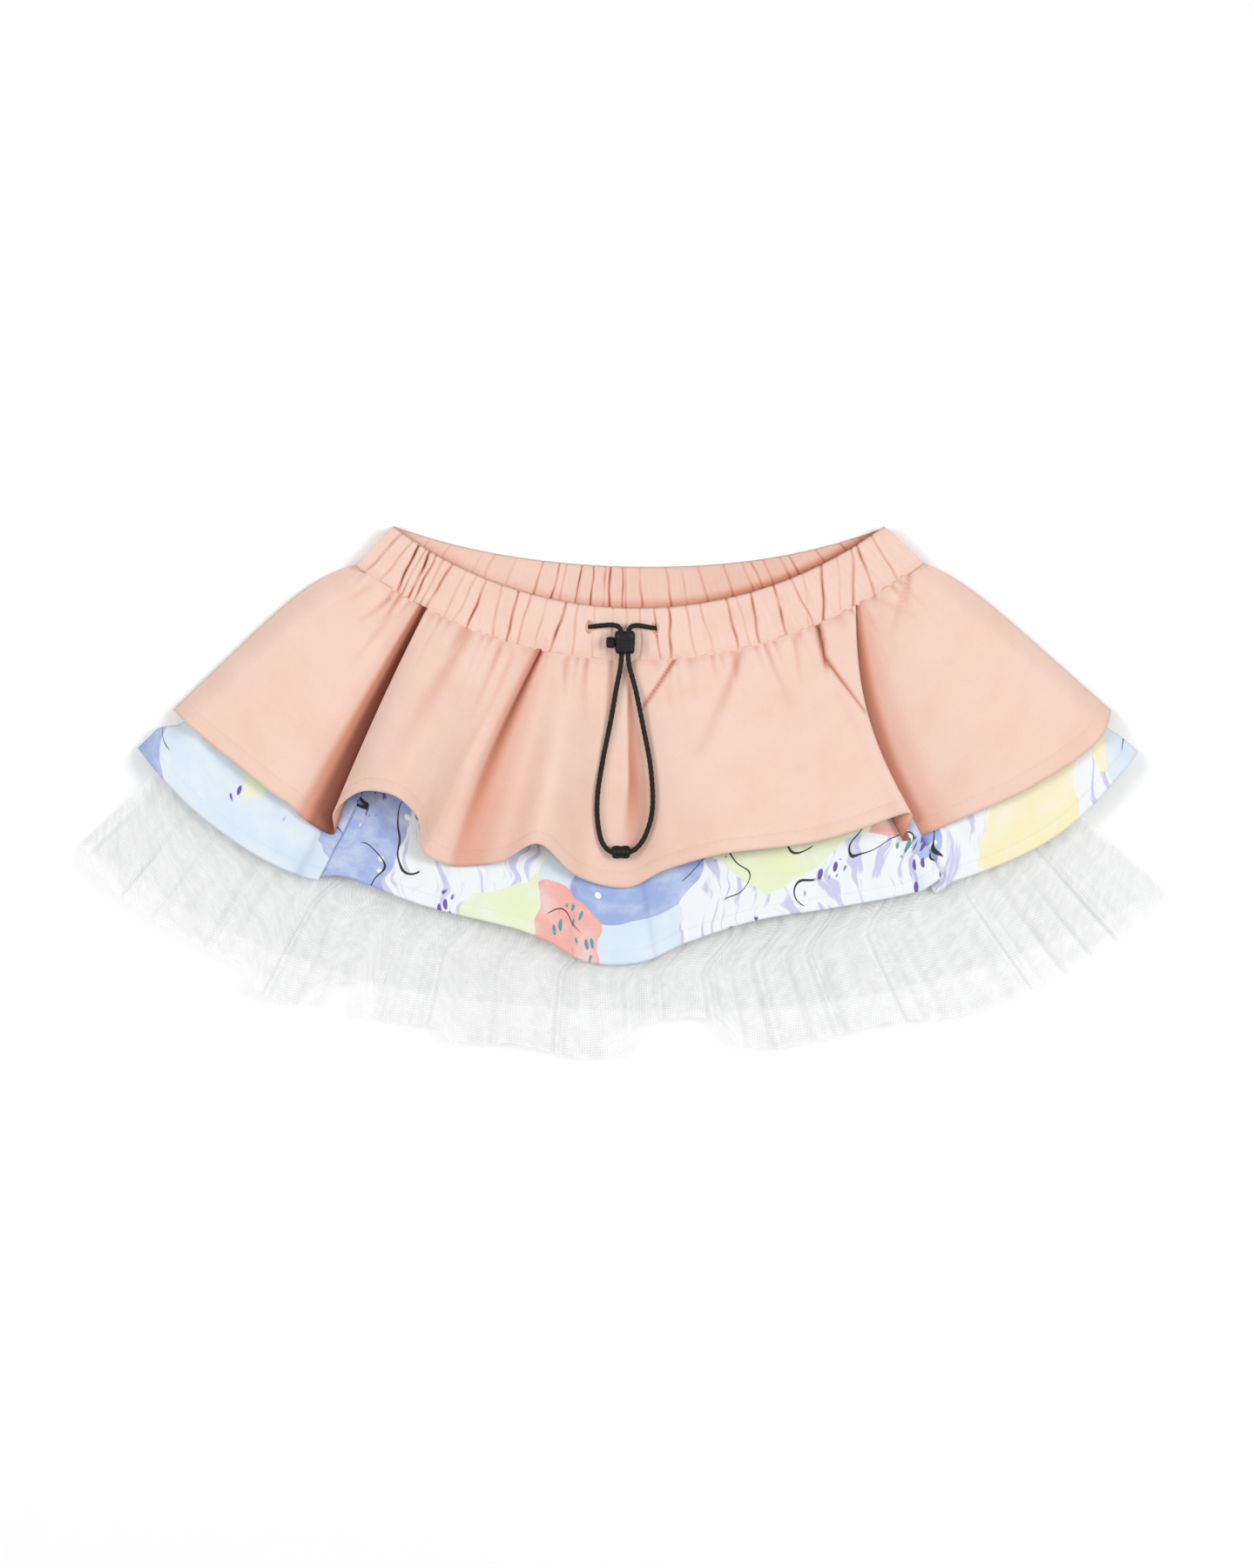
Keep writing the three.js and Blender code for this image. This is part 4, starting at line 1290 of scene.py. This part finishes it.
def makeBack(name, tier, node, finish):
    piece = backs[tier]

    def height(angle, radius, _):
        past = radius - readTable(backHems, "outer", angle)
        return piece["thick"] / 2 + piece["over"] * (1 - smooth(past, *backSettles))

    grid = tierGrid(tier, backSeam, curveOf(backHems, tier), evenShares(piece["rows"]),
                    evenShares(backColumns), height)
    layCloth(name, node, finish, piece, grid)


makeBack("outerBackCloth", "outer", "outer_back", peachFinish)
makeBack("printBackCloth", "print", "print_back", printFinish)
print("backs of the cloth tiers")


# Waistband: an elastic in a casing. Each gather is (angle at the top edge, angle at the foot,
# half width in mm, depth in mm). The cloth between them stands up in soft rolls. "shade" is the
# painted shade down behind the front band's edge, and "low" the casing's height at its ends and middle.
bandFront = {
    "gathers": [
        (-41.0, -41.4, 0.6, 0.8), (-38.8, -38.9, 0.5, 0.6), (-37.5, -36.0, 0.6, 1.5),
        (-36.3, -35.0, 0.4, 0.7), (-35.4, -33.9, 0.6, 1.4), (-34.2, -33.0, 0.5, 1.0),
        (-32.6, -32.1, 0.4, 0.5), (-31.0, -31.1, 0.6, 1.1), (-28.6, -28.0, 0.5, 0.35),
        (-26.2, -26.6, 0.5, 0.4), (-24.4, -24.4, 0.6, 1.0), (-21.8, -20.1, 0.7, 0.5),
        (-18.7, -17.9, 0.6, 1.15), (-16.5, -16.2, 0.5, 0.65), (-13.6, -13.9, 0.5, 0.35),
        (-10.1, -11.4, 0.6, 1.15), (-8.2, -7.9, 0.5, 0.55), (-5.2, -4.8, 0.5, 0.35),
        (-2.0, -1.8, 0.6, 0.5), (0.2, 0.4, 0.6, 0.5), (2.6, 2.3, 0.5, 0.4),
        (5.1, 5.4, 0.5, 0.75), (7.6, 6.9, 0.6, 1.15), (10.4, 10.6, 0.6, 0.35),
        (13.0, 13.4, 0.5, 0.35), (17.6, 17.0, 0.6, 1.0), (19.4, 18.8, 0.5, 0.35),
        (21.9, 20.2, 0.6, 1.0), (25.6, 24.3, 0.6, 1.1), (28.9, 28.6, 0.5, 0.65),
        (31.2, 27.6, 0.5, 0.35), (34.5, 29.8, 0.6, 1.3), (37.2, 32.6, 0.5, 0.35),
        (39.9, 34.6, 0.6, 1.0), (41.0, 38.2, 0.6, 1.0), (43.8, 42.0, 0.5, 0.55),
    ],
    "edge": "front",
    "low": (4.1, 4.6),
    "flat": (0.33, 0.0275),
    "salt": 11.0,
    "shade": named("angle dark", [(-43.0, 0.0), (46.3, 0.0)]),
    "darkest": 1.8,
}


def faintGather(k):
    # one of the small gathers all along the back band
    top = -41.2 + 3.9 * k + 2.6 * seeded(k, 5)
    return top, top + 0.8 * (seeded(k, 9) - 0.5), 0.35 + 0.3 * seeded(k, 2), 0.25 + 0.45 * seeded(k, 4)


bandBack = {
    "gathers": [
        (-12.6, -12.9, 0.45, 1.0), (-8.6, -8.7, 0.4, 0.9), (-6.1, -6.0, 0.4, 0.9), (-2.8, -2.6, 0.5, 1.1),
        (-0.3, -0.4, 0.4, 0.8), (24.0, 24.3, 0.45, 0.7), (30.7, 30.4, 0.5, 0.7), (39.3, 39.0, 0.5, 0.7),
    ] + [faintGather(k) for k in range(22)],
    "edge": "back",
    "low": (0.0, 0.0),
    "flat": (0.33, 0.0275),
    "salt": 23.0,
    "shade": named("angle dark", [
        (-43.0, 0.5), (-31.0, 0.5), (-24.0, 0.3), (0.0, 0.75), (24.0, 1.3), (46.3, 1.4),
    ]),
    "darkest": 1.45,
}
bandShape = {
    "thick": 3.5, "across": 26, "back": 7, "along": 900,
    "squareness": 8, "roll": 0.35, "puff": 0.4, "backInset": 1.1,
    "seamLine": 2.6, "seamWidth": 0.6, "seamDepth": 0.5,
    "toSeam": 4.2,  # brings the finish's row of hem stitches onto the seam line
    "deep": 1.2, "wander": 0.35, "slim": 0.85, "pulledIn": (0.55, 0.2),  # gathers
    "fullness": 1.25, "dark": 1.2, "behind": (-5.0, 0.0),  # for the finish: painted shade in the gathers and behind the front band's edge
}


def gatherDepth(gathers, angle, share, radius):
    # each gather wanders a little and is deeper in some places than in others
    depth = 0.0
    for top, foot, halfWidth, deep in gathers:
        wander = bandShape["wander"] * noise.noise(Vector((share * 2.2, top, 3.0)))
        side = math.radians(angle - lerp(top, foot, share) - wander) * radius
        away = side / (halfWidth * bandShape["slim"])
        if abs(away) < 3.2:
            varied = deep * (0.8 + 0.7 * noise.noise(Vector((share * 2.6, top * 1.7, 8.0))))
            depth = max(depth, varied * math.exp(-away * away))
    return depth


def bandFace(piece, angle, share):
    # a place on the casing's face, and how deep in a gather it is
    top = topEdge(piece["edge"], angle)
    depth = gatherDepth(piece["gathers"], angle, share, top + bandWidth * share)
    atTop, atFoot = bandShape["pulledIn"]
    radius = top + lerp(atTop * depth, bandWidth - atFoot * (1 + depth), share)
    fall = abs(2 * share - 1) ** bandShape["squareness"]
    fromLine = (bandWidth * (1 - share) - bandShape["seamLine"]) / bandShape["seamWidth"]
    stitched = bandShape["seamDepth"] * math.exp(-fromLine ** 2)
    roll = bandShape["roll"] * ripple(angle * 2.2, radius * 2, piece["salt"])
    where = Vector((math.radians(angle) * top / 2.0, radius / 12, piece["salt"]))
    puff = bandShape["puff"] * noise.noise(where)
    face = bandShape["thick"] + roll + puff - depth * bandShape["deep"] * (1 - 0.45 * fall) - stitched
    high = max(lerp(face, bandShape["thick"] * 0.5, fall), 0.1)
    return place(angle, radius, lowOf(piece, angle) + high), depth


def lowOf(piece, angle):
    left, right = sides["left"]["band"], sides["right"]["band"]
    return lerp(*piece["low"], math.sin(math.pi * (angle - left) / (right - left)))


def makeBand(name, piece, node):
    # rings round the casing, from one side tip to the other: its face, its foot and its plain back
    verts, places, hollow = [], [], []
    along, across, back = bandShape["along"], bandShape["across"], bandShape["back"]
    for k in range(along + 1):
        angle = lerp(sides["left"]["band"], sides["right"]["band"], k / along)
        top = topEdge(piece["edge"], angle)
        flat = math.radians(angle) * (top + bandWidth / 2) * bandShape["fullness"]
        shade = readTable(piece["shade"], "dark", angle)
        for i in range(across):
            share = i / (across - 1)
            point, depth = bandFace(piece, angle, share)
            verts.append(point)
            left = bandWidth * (1 - share) + bandShape["toSeam"]
            places.append(Vector((flat, share * bandWidth, left)) * mm)
            # painted shade: darker in each gather, and darker down behind the front band's edge
            behind = smooth(top + share * bandWidth - topEdge("front", angle), *bandShape["behind"])
            dark = depth * bandShape["dark"] + shade * (0.2 + 0.8 * behind)
            hollow.append(min(dark, piece["darkest"]))
        for i in range(back):
            share = 1 - (i + 0.5) / back
            radius = top + lerp(bandShape["backInset"], bandWidth - bandShape["backInset"], share)
            verts.append(place(angle, radius, lowOf(piece, angle)))
            places.append(Vector((flat, share * bandWidth, bandWidth * 2)) * mm)
            hollow.append(0.0)
    band = addMesh(name, verts, ringFaces(along + 1, across + back), peachFinish, places, hollow)
    dress(band, node)


makeBand("waistbandBackCasing", bandBack, "waistband_back")
makeBand("waistbandFrontCasing", bandFront, "waistband_front")
print("waistband")


# Buttonholes, worked in satin stitch round the two places where the cord leaves the casing
buttonhole = {
    "tall": 5.6, "wide": 2.0, "thread": 0.62, "stitch": 0.42, "relief": 0.14, "above": 0.15,
    "points": 120, "around": 10,
}


def makeButtonhole(name, end):
    angle, radius = fanOf(Vector(end) / mm)
    share = (radius - topEdge("front", angle)) / bandWidth
    line = []
    for k in range(buttonhole["points"]):
        turn = 2 * math.pi * k / buttonhole["points"]
        away = math.degrees(buttonhole["wide"] / 2 * math.cos(turn) / radius)
        down = buttonhole["tall"] / 2 * math.sin(turn) / bandWidth
        point = bandFace(bandFront, angle + away, share + down)[0]
        line.append(point + Vector((0, 0, buttonhole["above"])))

    def radiusAt(along, _):
        swing = math.sin(2 * math.pi * along / buttonhole["stitch"])
        return buttonhole["thread"] * (1 + buttonhole["relief"] * (swing - 1))

    ring = tube(name, line, buttonhole["around"], radiusAt, threadFinish, closed=True)
    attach(ring, "root")


makeButtonhole("buttonholeLeft", cordRoute[0])
makeButtonhole("buttonholeRight", cordRoute[-1])
print("buttonholes")


# Light and floor

studio = {
    "world": 0.36,
    "lights": [
        # name, place, size, watts
        ("keyRight", (1.5, 0.25, 1.75), 0.9, 24.0),
        ("keyLeft", (-1.5, 0.25, 1.75), 0.9, 20.0),
        ("skyAbove", (0.0, 0.0, 2.3), 1.6, 9.5),
    ],
    "floorColor": (0.95, 0.95, 0.95),
    "floorReach": 4000.0,
    "floorDrop": 0.2,
}


def makeStudio():
    world = bpy.data.worlds.new("studio")
    world.use_nodes = True
    sky = world.node_tree.nodes["Background"].inputs
    sky["Color"].default_value = (1, 1, 1, 1)
    sky["Strength"].default_value = studio["world"]
    bpy.context.scene.world = world
    bpy.context.scene.view_settings.view_transform = "Standard"
    for name, at, size, watts in studio["lights"]:
        data = bpy.data.lights.new(name, "AREA")
        data.size = size
        data.energy = watts
        lamp = bpy.data.objects.new(name, data)
        bpy.context.scene.collection.objects.link(lamp)
        lamp.location = at
        lamp.rotation_euler = (Vector((0, 0, 0)) - Vector(at)).to_track_quat("-Z", "Y").to_euler()
    finish = Finish("paleFloor")
    speckle = finish.noise(finish.solidPlace(), 60, 3.0)
    tone = studio["floorColor"]
    finish.set(Base_Color=finish.mixColor(speckle, tone, tuple(x * 0.985 for x in tone)), Roughness=0.85)
    finish.set(Specular_IOR_Level=0.2)
    reach, low = studio["floorReach"], -studio["floorDrop"]
    corners = [Vector((x * reach, y * reach, low)) for x, y in ((-1, -1), (1, -1), (1, 1), (-1, 1))]
    floor = addMesh("floor", corners, [(0, 1, 2, 3)], finish)


makeStudio()
print("studio")
